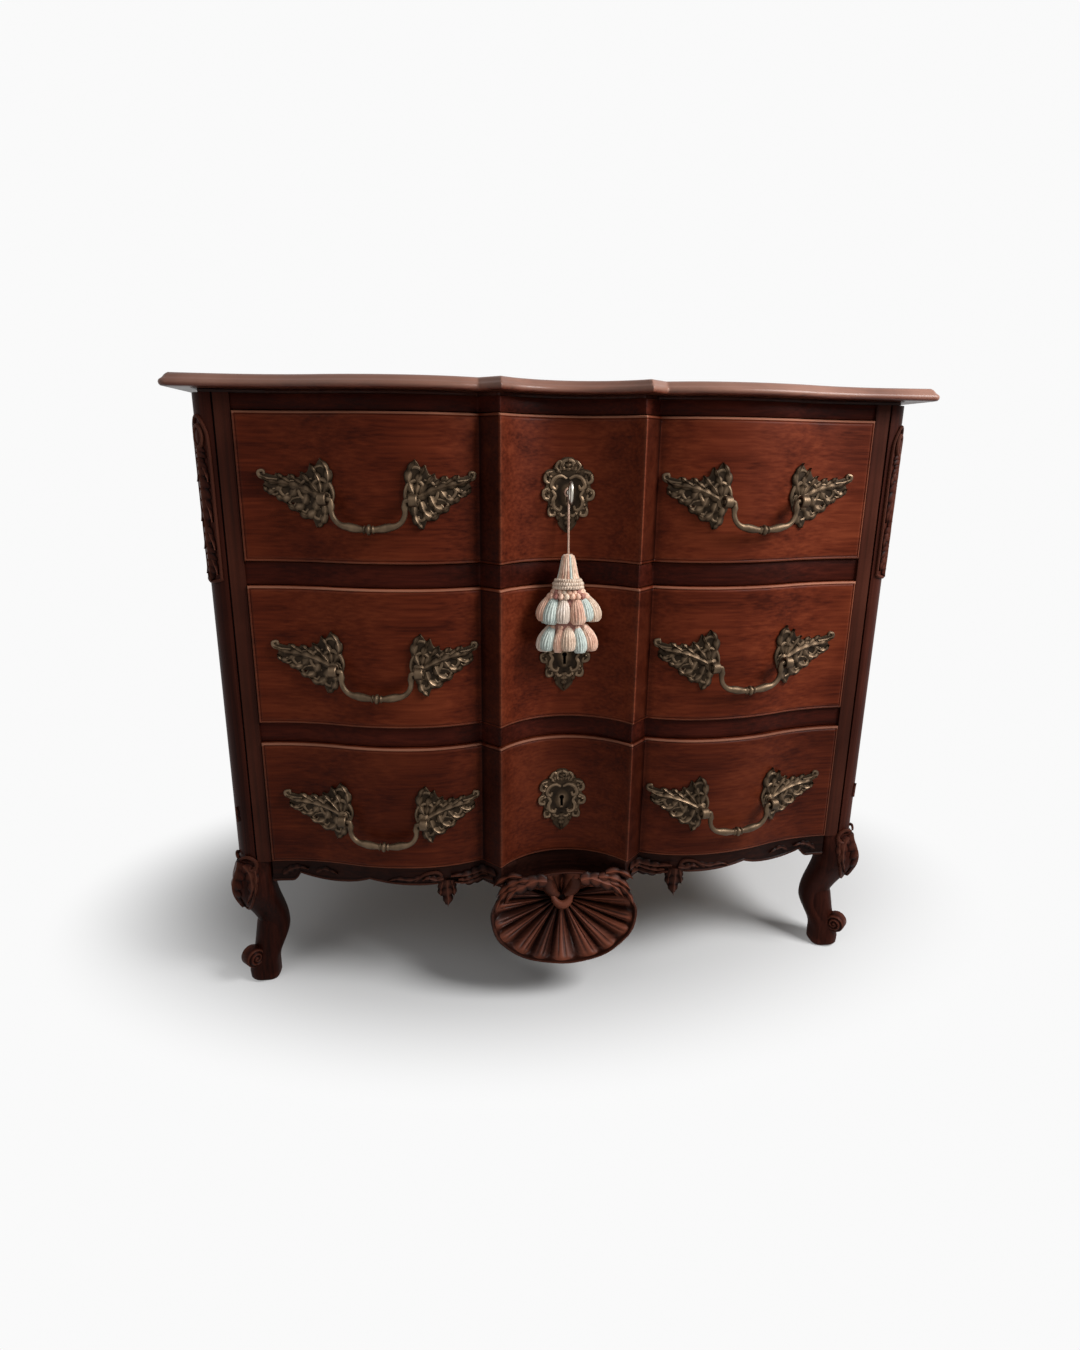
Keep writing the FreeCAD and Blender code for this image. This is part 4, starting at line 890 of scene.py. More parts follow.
def front_board(low, high, key_z):
    """A drawer front with its lip, back, edges and keyhole."""
    steps = [step[0] for step in lip]
    hole_low, hole_high = key_z - keyhole_fall, key_z + keyhole_rise
    field_low, field_high = low + steps[-1], high - steps[-1]
    marks = [keyhole_half] + [front_half - d for d in steps]
    xs = across_places(front_half, front_step, marks + [-mark for mark in marks])
    zs = sorted({low + d for d in steps} | {high - d for d in steps} | {hole_low, hole_high}
                | {field_low + (field_high - field_low) * i / field_rows for i in range(1, field_rows)})
    hole = {(r, c) for r, (za, zb) in enumerate(zip(zs, zs[1:])) for c, (xa, xb) in enumerate(zip(xs, xs[1:]))
            if hole_low <= za and zb <= hole_high and abs(xa + xb) / 2 < keyhole_half}

    def skin(z, x):
        depth, wear = lip_at(min(front_half - abs(x), z - low, high - z))
        rubbed = max(0.0, 1 - abs(abs(x) - arris_x) / rub_width)
        shadow = max(0.0, 1 - abs(abs(x) - shoulder_x) / shadow_width)
        # Painted shade on the step faces between arris and shoulder.
        step_shading = step_shade if arris_x + 2.0 < abs(x) < shoulder_x else 0.0
        # A painted highlight along the upper bead.
        bead_glint = top_bead_glint if wear > 0.0 and high - z < top_bead else 0.0
        level = wear + bead_glint + 0.12 * rubbed - 0.5 * shadow - step_shading
        return (x, face(x) + depth, z), max(-1.0, min(1.0, level))

    mould = Mould()
    front = mould.weave(zs, xs, skin, skip=hole)
    back = [[(x, front_back, z) for x in xs] for z in zs]
    mould.add(back, skip=hole)
    hole_rows = [r for r, z in enumerate(zs) if hole_low - 0.01 <= z <= hole_high + 0.01]
    hole_columns = [c for c, x in enumerate(xs) if abs(x) <= keyhole_half + 0.01]
    for rows, columns, level_wear, upright_wear in ((range(len(zs)), range(len(xs)), -0.2, 0.0),
                                                    (hole_rows, hole_columns, -1.0, -1.0)):
        for r in (rows[0], rows[-1]):
            mould.add([[side[r][c] for c in columns] for side in (front, back)], level_wear)
        for c in (columns[0], columns[-1]):
            mould.add([[side[r][c] for r in rows] for side in (front, back)], upright_wear)
    return mould


for name, (low, high) in drawers.items():
    # The bottom drawer takes the darker copy, as painted shade.
    finish = shaded_drawer_wood if name == "bottom" else drawer_wood
    piece(f"drawer_face_{name}", front_board(low, high, drawer_middle(name) - key_below), [finish],
          f"drawer_{name}", "drawer_wood", f"drawer_front_{name}")

# %% [markdown]
# ## Front posts
# Each corner post is one length of wood from the frieze to the floor: a flat stile, a quirk, a
# rounded corner with a carved drop, and a cabriole leg that ends in a scroll. The shaft is a plain
# section drawn up; the drop is made of leaves laid on its curved surface, as a carver leaves
# them standing when the ground is cut away.

# %% Post shaft and carved drop
carcass_half, post_round, post_depth, sill, frieze_high = 532.0, 32.0, 64.0, 230.0, 953.0
quirk_width, quirk_depth, quirk_slope = 3.0, 4.0, 0.8
column_x = carcass_half - post_round
inner_quirk, outer_quirk = column_x - quirk_width, post_round + quirk_width
post_section = [(drawer_half, 0.0), (inner_quirk, 0.0), (inner_quirk + quirk_slope, quirk_depth),
                (column_x - quirk_slope, quirk_depth)]
post_section += [(column_x + post_round * math.sin(turn), post_round - post_round * math.cos(turn))
                 for turn in turns(20, quarter, True)]
post_section += [(carcass_half - quirk_depth, post_round + quirk_slope),
                 (carcass_half - quirk_depth, outer_quirk - quirk_slope), (carcass_half, outer_quirk),
                 (carcass_half, post_depth), (drawer_half, post_depth)]
post_wear = [0.15, 0.3, -0.8, -0.8] + [0.0] * 21 + [-0.8, -0.8, 0.3, 0.1, -0.2]


def on_column(arc, z, high):
    """A point on the rounded corner: arc is the distance along it from its middle, towards the side."""
    turn = math.pi / 4 + arc / post_round
    reach = post_round + high
    return (column_x + reach * math.sin(turn), post_round - reach * math.cos(turn), z)


shaft = Mould()
shaft_levels = [sill + (frieze_high - sill) * i / 24 for i in range(25)]
shaft.add([[(x, y, z) for x, y in post_section] for z in shaft_levels], [post_wear] * len(shaft_levels),
          around=True, caps=True)

hood_top, drop_end, oval_z = 922.0, 688.0, 894.0
frame_line = [(-17, drop_end + 4), (-17, 770), (-17, 878), (-13, 906), (0, hood_top), (13, 906), (17, 878),
              (17, 770), (17, drop_end + 4)]
bead_line(shaft, frame_line, 2.6, on_column, count=80, taper=0.9)
oval = [(8.5 * math.cos(turn), oval_z + 15 * math.sin(turn)) for turn in turns(24, closed=True)]
bead_line(shaft, oval, 3.2, on_column, count=60, taper=1.0, wear=0.6)
boss_steps = ((1.0, 0.6, -0.8), (0.8, 2.2, -0.2), (0.5, 3.4, 0.2), (0.02, 3.8, 0.4))
shaft.weave(boss_steps, turns(24), lambda step, turn: (
    on_column(7.0 * step[0] * math.cos(turn), oval_z + 13 * step[0] * math.sin(turn), step[1]), step[2]),
    around=True, caps=True)
drop_leaves = ((880, 856, 12.0, 3), (860, 828, 11.5, 3), (836, 761, 14.0, 5), (770, 731, 11.0, 3),
               (740, 690, 13.0, 5))
for top_z, low_z, wide, lobes in drop_leaves:
    leaf(shaft, [(0, top_z), (0, (top_z + low_z) / 2), (0, low_z)], wide, 6.5, lobes, on_column, count=30,
         blunt=0.35, curl=0.2)
for top_z, low_z in ((856, 832), (810, 776), (762, 736), (726, 700)):
    spray(shaft, [([(3, top_z), (9, (top_z + low_z) / 2), (13, low_z)], 4.6, 4.5, 2, 0.0)], on_column, count=14)
bead_line(shaft, [(-17, drop_end + 5), (0, drop_end + 1), (17, drop_end + 5)], 2.8, on_column, count=24, taper=0.9)
leaf(shaft, [(0, 300), (0, 312), (0, 326)], 5.0, 3.6, 2, on_column, count=16, blunt=0.3)
print("shaft points", len(shaft.points))

# %% [markdown]
# ## Legs
# The cabriole leg is a rounded square that swells at the knee, draws in at the ankle and moves
# along the diagonal of the post. A carver would saw it and round it by eye. Here a list of heights
# gives its size and its move, and the knee carries leaves laid on that skin.

# %% Cabriole leg and knee leaves
slant = math.sqrt(0.5)
post_middle_x, post_middle_y = 503.5, 28.5
leg_top, free_height, leg_square = 232.0, 186.0, 3.0
leg_stations = [(leg_top, 57.0, 0.0), (188.0, 64.0, 9.0), (88.0, 46.0, -22.0), (28.0, 46.0, 2.0), (0.0, 46.0, 2.0)]
leg_heights = [0.0, 1.2, 4.0] + [leg_top * i / 60 for i in range(2, 61)]
foot_tuck = {0.0: -4.0, 1.2: -1.6}
knee_round = 30.0


def leg_at(z):
    """Size and move along the diagonal of the leg at a height."""
    for (z0, s0, o0), (z1, s1, o1) in zip(leg_stations, leg_stations[1:]):
        if z >= z1:
            fall = min(1.0, max(0.0, (z0 - z) / (z0 - z1)))
            ease = (1 - math.cos(math.pi * fall)) / 2
            return s0 + ease * (s1 - s0), o0 + ease * (o1 - o0)


def on_leg(turn, z, high):
    """A point on the leg at a turn from the outward diagonal."""
    size, offset = leg_at(z)
    angle = turn - math.pi / 4
    square = abs(math.cos(angle)) ** leg_square + abs(math.sin(angle)) ** leg_square
    reach = size / 2 / square ** (1 / leg_square) + high
    x = post_middle_x + offset * slant + reach * math.cos(angle)
    y = post_middle_y - offset * slant + reach * math.sin(angle)
    return (max(x, drawer_half + 0.2) if z > free_height else x, y, z)


def on_knee(across, z, high):
    return on_leg(across / knee_round, z, high)


leg = Mould()
leg.weave(leg_heights, turns(48), lambda z, turn: (
    on_leg(turn, z, foot_tuck.get(z, 0.0)), 0.05 if z < 12 else -0.35 if z < 170 else -0.15),
    around=True, caps=True)
leaf(leg, [(0, 230), (0, 205), (0, 178), (0, 146)], 15, 7.0, 5, on_knee, count=34, curl=0.3)
spray(leg, [([(9, 226), (22, 210), (26, 186), (13, 158)], 9, 5.5, 4, 0.0)], on_knee, count=30, curl=0.3)
spray(leg, [([(25, 224), (31, 200), (29, 172)], 6, 4.5, 3, 0.0)], on_knee, count=22)
for side in (-1, 1):
    curl = [(3, 236), (15, 240), (27, 232), (28, 220), (20, 217), (18, 224)]
    bead_line(leg, flipped(curl, side), 3.2, on_knee, count=32)
    bead_line(leg, flipped([(31, 206), (32, 188), (22, 164), (10, 146), (0, 138)], side), 2.4, on_knee, count=36)
print("leg points", len(leg.points))

# %% [markdown]
# The foot is a scroll: a disc on each side of the toe whose face waves in a spiral. The height
# follows the turn and the radius together, which winds the groove by itself. A bent bar would
# leave gaps between its turns.

# %% Scroll foot
scroll_axis, scroll_out = Vector((slant, slant, 0)), Vector((slant, -slant, 0))
scroll_middle = Vector((post_middle_x, post_middle_y, 48.0)) + scroll_out * 26.0
scroll_radius, scroll_half, scroll_pitch, scroll_steps = 17.0, 15.0, 6.4, 16
scroll_rings = [(-1, scroll_radius * i / scroll_steps) for i in range(scroll_steps + 1)]
scroll_rings += [(1, reach) for end, reach in reversed(scroll_rings)]


def scroll_skin(ring, turn):
    """A point of the scroll's face, on the ring's end and reach."""
    end, reach = ring
    wave = 0.5 + 0.5 * math.cos(2 * math.pi * reach / scroll_pitch - end * turn)
    cut = wave * min(1.0, reach / 3.0)
    height = scroll_half - 6.0 * (reach / scroll_radius) ** 4 - 2.6 * cut
    out = scroll_out * (reach * math.cos(turn)) + Vector((0, 0, reach * math.sin(turn)))
    return scroll_middle + scroll_axis * (end * height) + out, 0.7 - 1.6 * cut


leg.weave(scroll_rings, turns(40), scroll_skin, around=True, caps=True)
toe_line = [(-16, 114, 19), (-12, 98, 21.5), (-9, 80, 22), (-5, 62, 21.5), (-1, 46, 21.5), (4, 28, 22.5),
            (7, 14, 23.5), (7, 5, 22.5), (7, 1.2, 18)]
toe_path = [Vector((post_middle_x, post_middle_y, z)) + scroll_out * out for out, z, radius in toe_line]
tube(leg, toe_path, [radius for out, z, radius in toe_line], sides=40, wear=-0.3)
shaft.join(leg)
for side, post in (("right", shaft), ("left", shaft.mirrored())):
    piece(f"carved_post_{side}", post, [post_wood], "carcass", "show_wood", f"front_post_{side}")

# %% [markdown]
# ## Apron
# Below the drawers runs an apron with a scalloped edge, two hanging leaves, and a tongue behind
# the shell. It is sawn from one board on the real piece. Here it is a grid between the straight
# top and the shaped edge, so that the crossbow line bends it like the rails, with a small bead
# along the edge.

# %% Apron
apron_low, apron_foot, apron_skin, pendant_length = 198.0, 192.0, 26.0, 40.0
pendant_x, pendant_half = 191, 11
tongue_half, tongue_high, tongue_drop = 92.0, 194.0, 80.0
apron_arcs = (
    (430, (445, 192), (437.5, 195), (430, 206)),
    (316, (430, 206), (373, 195), (316, 206)),
    (202, (316, 206), (259, 198), (202, 198)),
    (tongue_half, (180, 198), (136, 191), (92, 194)),
)


def arc_height(x, a, middle, b):
    """Height at x on the arc through three points, taken as a parabola over so short a run."""
    (x0, z0), (x1, z1), (x2, z2) = a, middle, b
    return (z0 * (x - x1) * (x - x2) / ((x0 - x1) * (x0 - x2)) + z1 * (x - x0) * (x - x2) / ((x1 - x0) * (x1 - x2))
            + z2 * (x - x0) * (x - x1) / ((x2 - x0) * (x2 - x1)))


def apron_edge(x):
    """Height of the apron's lower edge."""
    x = abs(x)
    if x > apron_arcs[0][1][0]:
        return apron_foot
    if pendant_x - pendant_half < x <= pendant_x + pendant_half:
        drop = 1 - abs(x - pendant_x) / pendant_half
        return apron_low - pendant_length * min(1.0, drop * 1.7) ** 0.8 if drop > 0 else apron_low
    for start, *arc in apron_arcs:
        if x > start:
            return arc_height(x, *arc)
    return tongue_high - tongue_drop * math.sqrt(max(0.0, 1 - (x / tongue_half) ** 2))


def on_apron(x, z, high):
    return (x, face(x) + rail_recess - high, z)


apron = Mould()
marks = (445, 430, 316, 202, 200, 197, 194, 191, 188, 185, 182, 180, 92, 91, 88, 84)
apron_wear = [0.0, 0.2, 0.0, 0.0, 0.0, -0.1, -0.6, 0.5, 0.6, 0.2, -0.4, -0.4, -0.4, -0.4]
rows = []
for x in across_places(drawer_half, 5.0, [side * mark for side in (-1, 1) for mark in marks]):
    front = face(x) + rail_recess
    low = apron_edge(x)
    inner = min(max(low, apron_low), sill - 6.0)
    section = [(front + 2, sill), (front, sill - 2)]
    section += [(front, low + (sill - low) * share) for share in (0.8, 0.6, 0.4, 0.25)]
    section += [(front, low + 5), (front - 1.6, low + 3.6), (front - 1.8, low + 1.4), (front, low),
                (front + apron_skin, low), (front + apron_skin, inner), (post_depth, inner), (post_depth, sill)]
    rows.append([(x, y, z) for y, z in section])
apron.add(rows, [apron_wear] * len(rows), around=True, caps=True)
apron_leaves = (
    ([(112, 214), (134, 212), (158, 210), (184, 214)], 10, 9, 5, 0.2),
    ([(116, 204), (138, 198), (158, 196), (178, 202)], 9, 9, 4, 0.2),
    ([(124, 210), (142, 205), (160, 203), (172, 207)], 7, 11, 4, 0.3),
    ([(191, 206), (191, 190), (190, 174), (190, 157)], 13, 8, 3, 0.45),
    ([(184, 204), (181, 192), (180, 182), (180, 174)], 6, 7, 2, 0.4),
    ([(198, 204), (201, 192), (202, 184), (202, 178)], 6, 7, 2, 0.4),
    ([(196, 208), (208, 207), (219, 211), (230, 209)], 7, 6, 3, 0.3),
    ([(232, 213), (250, 208), (270, 210), (286, 206)], 5, 4, 4, 0.2),
    ([(458, 206), (446, 214), (432, 218), (416, 216)], 7, 5, 4, 0.2),
    ([(404, 210), (392, 216), (380, 214), (368, 210)], 5, 4, 3, 0.2),
)
spray(apron, apron_leaves, on_apron, count=22)
for side in (-1, 1):
    bead_line(apron, flipped([(242, 206), (226, 217), (208, 220), (200, 213), (208, 209)], side), 3.0, on_apron)
piece("scalloped_apron", apron, [apron_wood], "carcass", "show_wood", "apron")

# %% [markdown]
# ## Shell
# A deep scallop shell at the middle is the showpiece of the front. It is drawn as rings about its
# umbo: each ring waves once for every flute, and the rim rolls over at the outside. The ribs are
# shifted and worn a little by chance, as a hand carver's are. A sculpted mesh could be freer, but
# rings keep the ribs clean from umbo to rim.

# %% Shell ribs
shell_wide, shell_high, shell_tilt = 122.0, 75.0, math.radians(18.6)
shell_bowl, umbo_rise, flute_count = 36.0, 28.0, 17
shell_y = -98.0 + shell_high * math.sin(shell_tilt)
shell_z = 72.0 + shell_high * math.cos(shell_tilt)
rib_height, rib_end, bowl_end = 13.0, 0.85, 0.945
bowl_steps = [0.04, 0.08, 0.13, 0.19, 0.26, 0.34, 0.42, 0.5, 0.58, 0.66, 0.74, 0.8, 0.85, 0.89, 0.92, bowl_end]
rim_steps = [(bowl_end, 4.5, -0.7), (0.952, 0.8, -0.3), (0.965, -0.8, 0.15), (0.985, -0.5, 0.1), (1.0, 3.5, -0.2),
             (1.0, 8.0, -0.3), (0.99, 13.0, -0.3), (0.965, 19.0, -0.4), (0.9, 28.0, -0.5), (0.76, 42.0, -0.5),
             (0.62, 66.0, -0.5), (0.5, 90.0, -0.5)]
rim_back, shell_back = 13, 90
random.seed(5)
rib_wear = [random.uniform(-0.3, 0.3) for i in range(flute_count)]
rib_shift = [(0.13 if i % 2 else -0.13) + random.uniform(-0.05, 0.05) for i in range(flute_count)]
rib_backs = [i + rib_shift[i % flute_count] for i in range(-1, flute_count + 2)]


def on_shell(u, v, depth):
    """A point of the tilted shell from its place across, up its face, and depth behind the rim."""
    return (u, shell_y + v * math.sin(shell_tilt) + depth * math.cos(shell_tilt),
            shell_z + v * math.cos(shell_tilt) - depth * math.sin(shell_tilt))


def bowl_depth(share):
    return shell_bowl * (1 - share ** 2.2)


def rib_at(turn):
    """The nearest rib's number and how high it stands here, 1 on its back and 0 in the hollow beside it."""
    place = flute_count * turn / (2 * math.pi)
    nearest = min(range(len(rib_backs)), key=lambda i: abs(rib_backs[i] - place))
    back = rib_backs[nearest]
    beside = rib_backs[nearest + 1] if place > back else rib_backs[nearest - 1]
    away = abs(place - back) / abs(beside - back)
    return (nearest - 1) % flute_count, math.cos(math.pi * min(away, 0.5))


def bowl_skin(share, turn):
    """A point of the ribbed bowl."""
    rib_number, wave = rib_at(turn)
    turn -= quarter
    end = max(0.0, (share - rib_end) / (bowl_end - rib_end))
    scallop = share * (1 - 0.05 * end * (1 - wave))
    u = shell_wide * scallop * math.cos(turn)
    v = shell_high * scallop * math.sin(turn) + umbo_rise * (1 - share) ** 1.4
    rib = (wave ** 0.8 - 0.55) * rib_height * min(1.0, share / 0.4) ** 0.8 * (1 - 0.85 * end ** 2)
    hook = 5.0 * end ** 2 * (1 - wave)
    groove = 2.2 * math.exp(-((wave - 0.9) / 0.06) ** 2) * min(1.0, share / 0.5) * (1 - end)
    lit = 1.5 * wave - 1.25 + 0.75 * share + rib_wear[rib_number] - 0.4 * groove
    return on_shell(u, v, bowl_depth(share) + 3.0 - rib + hook + groove), max(-0.8, min(0.9, lit))


def shell_skin(step, turn):
    """A point of the bowl, or of the rolled rim and the back where the step has a depth."""
    if len(step) == 1:
        return bowl_skin(*step, turn)
    share, depth, wear = step
    turn -= quarter
    rise = umbo_rise * max(0.0, (depth - rim_back) / (shell_back - rim_back))
    reach = share * (1 + 0.006 * math.sin(5 * turn + 1.0) + 0.004 * math.sin(11 * turn))
    return on_shell(shell_wide * reach * math.cos(turn), shell_high * reach * math.sin(turn) + rise, depth), wear


def on_bowl(u, v, high):
    """Laid on the bowl's floor near the umbo."""
    share = min(1.0, math.hypot(u / shell_wide, (v - umbo_rise) / shell_high))
    return on_shell(u, v, bowl_depth(share) + 1.0 - high)


def on_rim(u, v, high):
    return on_shell(u, v, 1.0 - high)


print("ribs", flute_count, "first shifts", [round(shift, 2) for shift in rib_shift[:4]])

# %% [markdown]
# The shell is one skin from umbo to back. Carved scrolls and leaves lie around the umbo, and three
# more leaves spill over the rim at each side. Those on the left are a little narrower, because no
# carver's two sides are quite the same.

# %% Shell and its leaves
shell = Mould()
shell_steps = [(share,) for share in bowl_steps] + rim_steps
shell.weave(shell_steps, turns(flute_count * 18), shell_skin, around=True, caps=True)
for side in (-1, 1):
    bead_line(shell, flipped([(5, 30), (15, 36), (23, 48), (21, 62), (11, 70)], side), 10.5,
              lambda u, v, high: on_bowl(u, v, high + 3), count=30, taper=0.3, sides=18, wear=0.25)
    ruffle = [(26, 46), (38, 52), (50, 45), (62, 47), (74, 36), (88, 34), (100, 18)]
    bead_line(shell, flipped(ruffle, side), 3.6, on_bowl, count=48, taper=0.3, sides=12, wear=0.7)
spray(shell, [([(28, 60), (46, 62), (66, 54), (84, 46), (100, 28)], 12, 7, 4, 0.3)], on_rim, count=40, curl=0.4)
bead_line(shell, [(-17, 32), (-10, 20), (0, 15), (10, 20), (17, 32)], 7.4,
          lambda u, v, high: on_bowl(u, v, high + 8), count=36, taper=0.35, sides=16, wear=0.8)
leaf(shell, [(0, 74), (0, 58), (0, 40)], 6, 8, 0, on_bowl, count=18, blunt=0.2)
for side, spread in ((1, 1.0), (-1, 0.85)):
    flourish = (
        ([(58, 64), (78, 62), (96, 54), (112, 40)], 9 * spread, 9, 3, 0.4),
        ([(78, 54), (96, 46), (108, 32), (115, 14)], 8 * spread, 8, 3, 0.4),
        ([(70, 70), (88, 72), (104, 66), (116, 58)], 7 * spread, 9, 2, 0.5),
    )
    spray(shell, flourish, on_rim, (side,), count=26, curl=0.6)
piece("scallop_shell", shell, [carved_wood], "carcass", "show_wood", "apron_shell", sharp=50)

# %% [markdown]
# ## Plates of the pulls
# Each pull is a drop handle between two rocaille plates. They are cast, so each plate is one thin
# base with the drawn outline, and over it lie leaves and scrolls: a crest, long lobed leaves that
# sweep to a tip, and a spray below. A small rosette carries the eye. The plate on the inner side
# is a little narrower, because it bends over the bulge.

# %% Drawing of the plates
pull_below, pull_middle_x, pull_reach = 13.0, 287.021, 63.0
inner_share, plate_seat = 0.93, 0.4
eye_standoff, eye_outer, eye_inner, eye_half = 24.0, 9.0, 4.5, 6.0
wing_middle, wing_points = (22.0, 8.0), 160
wing_outline = (
    (-9, -14), (-12, -2), (-11, 12), (-12, 26), (-8, 42), (-1, 48), (3, 55), (9, 47), (14, 43), (18, 48), (22, 38),
    (26, 34), (32, 36), (35, 29), (43, 29), (49, 33), (53, 29), (62, 31), (67, 34), (72, 30), (82, 33), (90, 36),
    (92, 28), (84, 22), (87, 17), (77, 11), (71, 3), (62, 3), (55, -8), (45, -7), (40, -18), (31, -17), (29, -28),
    (20, -27), (14, -41), (8, -32), (4, -28), (-3, -22),
)
wing_steps = ((1.0, -0.4, -0.8), (1.0, 0.9, -0.4), (0.97, 1.6, 0.1), (0.9, 1.9, -0.5), (0.5, 2.1, -0.7),
              (0.03, 2.2, -0.7))
wing_leaves = (
    ([(60, 16), (72, 9), (82, 10), (87, 17)], 5.4, 5.5, 3, 0.45),
    ([(40, 13), (50, 1), (62, -1), (71, 4)], 7.2, 6.6, 3, 0.5),
    ([(24, 5), (32, -10), (45, -14), (55, -8)], 7.8, 7.0, 3, 0.45),
    ([(10, -3), (16, -18), (28, -25), (40, -18)], 7.6, 6.8, 3, 0.45),
    ([(0, -8), (1, -24), (7, -35), (14, -41)], 6.6, 6.4, 3, 0.3),
    ([(0, 8), (-7, 26), (-5, 42), (4, 55)], 7.2, 8.0, 3, 0.25),
    ([(4, 8), (6, 24), (12, 37), (18, 48)], 6.4, 8.4, 3, 0.25),
    ([(8, 8), (17, 19), (26, 28), (33, 36)], 6.0, 7.6, 2, 0.35),
    ([(30, 18), (39, 24), (45, 29), (50, 33)], 4.8, 6.6, 2, 0.4),
    ([(48, 21), (57, 26), (63, 30), (68, 34)], 4.6, 6.2, 2, 0.4),
    ([(6, 2), (28, 12), (52, 19), (76, 22), (91, 30)], 7.4, 9.0, 6, 0.25),
)
wing_scrolls = (
    ([(-10, -8), (-13, 6), (-8, 20), (4, 26), (14, 20), (12, 10), (6, 11)], 3.4),
    ([(-7, 24), (-8, 36), (0, 44), (10, 42), (12, 34), (6, 32)], 2.6),
    ([(16, 27), (28, 23), (36, 12), (32, 1), (24, 1), (24, 9)], 3.0),
    ([(40, 24), (54, 21), (63, 12), (58, 3), (51, 6)], 2.7),
    ([(66, 25), (80, 26), (90, 29), (92, 35), (86, 37), (84, 32)], 3.0),
    ([(20, -5), (30, -7), (35, -14), (29, -20), (24, -15)], 2.5),
    ([(6, -14), (14, -17), (15, -26), (8, -29), (6, -23)], 2.5),
    ([(34, 1), (46, -1), (51, -7), (45, -11), (41, -7)], 2.2),
    ([(62, 13), (72, 12), (76, 7), (70, 4), (66, 7)], 2.0),
)
rosette_steps = ((11.0, -0.4, -0.3), (10.5, 3.4, 0.2), (9.0, 4.6, 0.6), (6.0, 4.2, -0.3), (0.1, 4.0, -0.6))

print("plate outline", len(wing_outline), "places,", len(wing_leaves), "leaves,", len(wing_scrolls), "scrolls")

# %% [markdown]
# The eyes stand off the crossbow line, and the line between the two gives the pull its slant. Each
# plate is laid on the drawer's face from its eye outward, so the casting bends with the wood. A
# flat plate bent by a modifier would do too, but would not seat so closely.

# %% Wing plates


def pull_eye(x):
    return Vector((x, sharp_depth(x) - eye_standoff, 0.0))


inner_eye = pull_eye(pull_middle_x - pull_reach)
outer_eye = pull_eye(pull_middle_x + pull_reach)
pull_along = (outer_eye - inner_eye).normalized()
pull_place = (inner_eye + outer_eye) / 2


def wing_plate(eye_x, toward, height):
    """One plate, from its eye: places away from the pull, then up."""
    share = inner_share if toward < 0 else 1.0
    middle_u, middle_v = wing_middle

    def lay(u, v, high):
        x = eye_x + toward * share * u
        return (x, face(x) - plate_seat - high, height + v)

    def base(step, place):
        reach, high, wear = step
        u, v = place
        return lay(middle_u + reach * (u - middle_u), middle_v + reach * (v - middle_v), high), wear

    def rosette(step, turn):
        reach, high, wear = step
        u = reach * (1 + 0.08 * math.cos(10 * turn)) * math.cos(turn)
        return lay(u, reach * math.sin(turn), high), wear

    mould = Mould()
    mould.weave(wing_steps, even_outline(wing_outline, wing_middle, wing_points), base, around=True, caps=True)
    spray(mould, wing_leaves, lay, (1,), count=26, curl=0.3)
    for line, radius in wing_scrolls:
        bead_line(mould, line, radius, lay, count=34, wear=0.5)
    mould.weave(rosette_steps, turns(40), rosette, around=True, caps=True)
    return mould


print("pull stands at", [round(value, 1) for value in pull_place])

# %% [markdown]
# An eye post is a turned neck with a ring for the bail's pin. Its bolt goes through the drawer
# front and ends in a square nut behind. The neck is turned from one profile, so that its mouldings
# stay round, and the ring is a small section carried about the pin.

# %% Eye posts
nut_half, nut_thick, nut_seat = 7, 5, 0.1


def eye_post(eye, height, along):
    """Ring that carries the bail's pin, on a turned neck, with the nut behind the drawer front."""
    centre = Vector((eye.x, eye.y, height))
    across = along.cross(Vector((0, 0, 1)))
    section = [(-eye_half, 5.2, 0.0), (-eye_half, 8.0, 0.6), (-eye_half + 1.2, eye_outer, 0.4),
               (eye_half - 1.2, eye_outer, 0.4), (eye_half, 8.0, 0.6), (eye_half, 5.2, 0.0),
               (eye_half - 0.8, eye_inner, -0.8), (-eye_half + 0.8, eye_inner, -0.8), (-eye_half, 5.2, 0.0)]

    def ring(step, turn):
        along_by, reach, wear = step
        return centre + along * along_by + (across * math.cos(turn) + Vector((0, 0, math.sin(turn)))) * reach, wear

    mould = Mould()
    mould.weave(section, turns(28), ring, around=True)
    seat, end = eye_standoff - 1.0, front_back + 7.0 - eye.y
    neck = [(7.6, 4.6), (9, 5.0), (11, 6.4), (13, 5.2), (16, 5.0), (18, 7.5), (seat - 3.5, 9.2), (seat, 9.4)]
    turned_bar(mould, centre, (0, 1, 0), neck, wear=0.3)
    turned_bar(mould, centre, (0, 1, 0), [(seat - 2, 3.6), (end - 1, 3.6), (end, 2.8)], sides=12)
    box_block(mould, eye.x - nut_half, eye.x + nut_half, front_back + nut_seat, front_back + nut_thick,
              height - nut_half, height + nut_half, ease=1.2)
    return mould


for name in drawers:
    height = drawer_middle(name) - pull_below
    plates, posts = Mould(), Mould()
    for eye, toward in ((inner_eye, -1), (outer_eye, 1)):
        for gathered, made in ((plates, wing_plate(eye.x, toward, height)),
                               (posts, eye_post(eye, height, pull_along))):
            gathered.join(made)
            gathered.join(made.mirrored())
    piece(f"wing_plates_{name}", plates, [bronze], f"drawer_{name}", "bronze", f"pull_plates_{name}")
    piece(f"eye_posts_{name}", posts, [bronze], f"drawer_{name}", "bronze", f"pull_posts_{name}")

# %% [markdown]
# ## Bails
# The bail swings in the eyes, so it is a piece of its own that rides on its own body. It is one
# bar bent in a plane: a pin at each end, a bead under each eye, arms that swell, and a ringed
# middle. Half of its line is drawn and mirrored, and its radius follows the place on that line.

# %% Bails
bail_half, bail_drop, bail_corner, pin_end, bail_smile = 52.0, 41.0, 22.0, 70.0, 4.0
bend_radius, pin_radius, grip_steps = 3.5, 3.7, 34


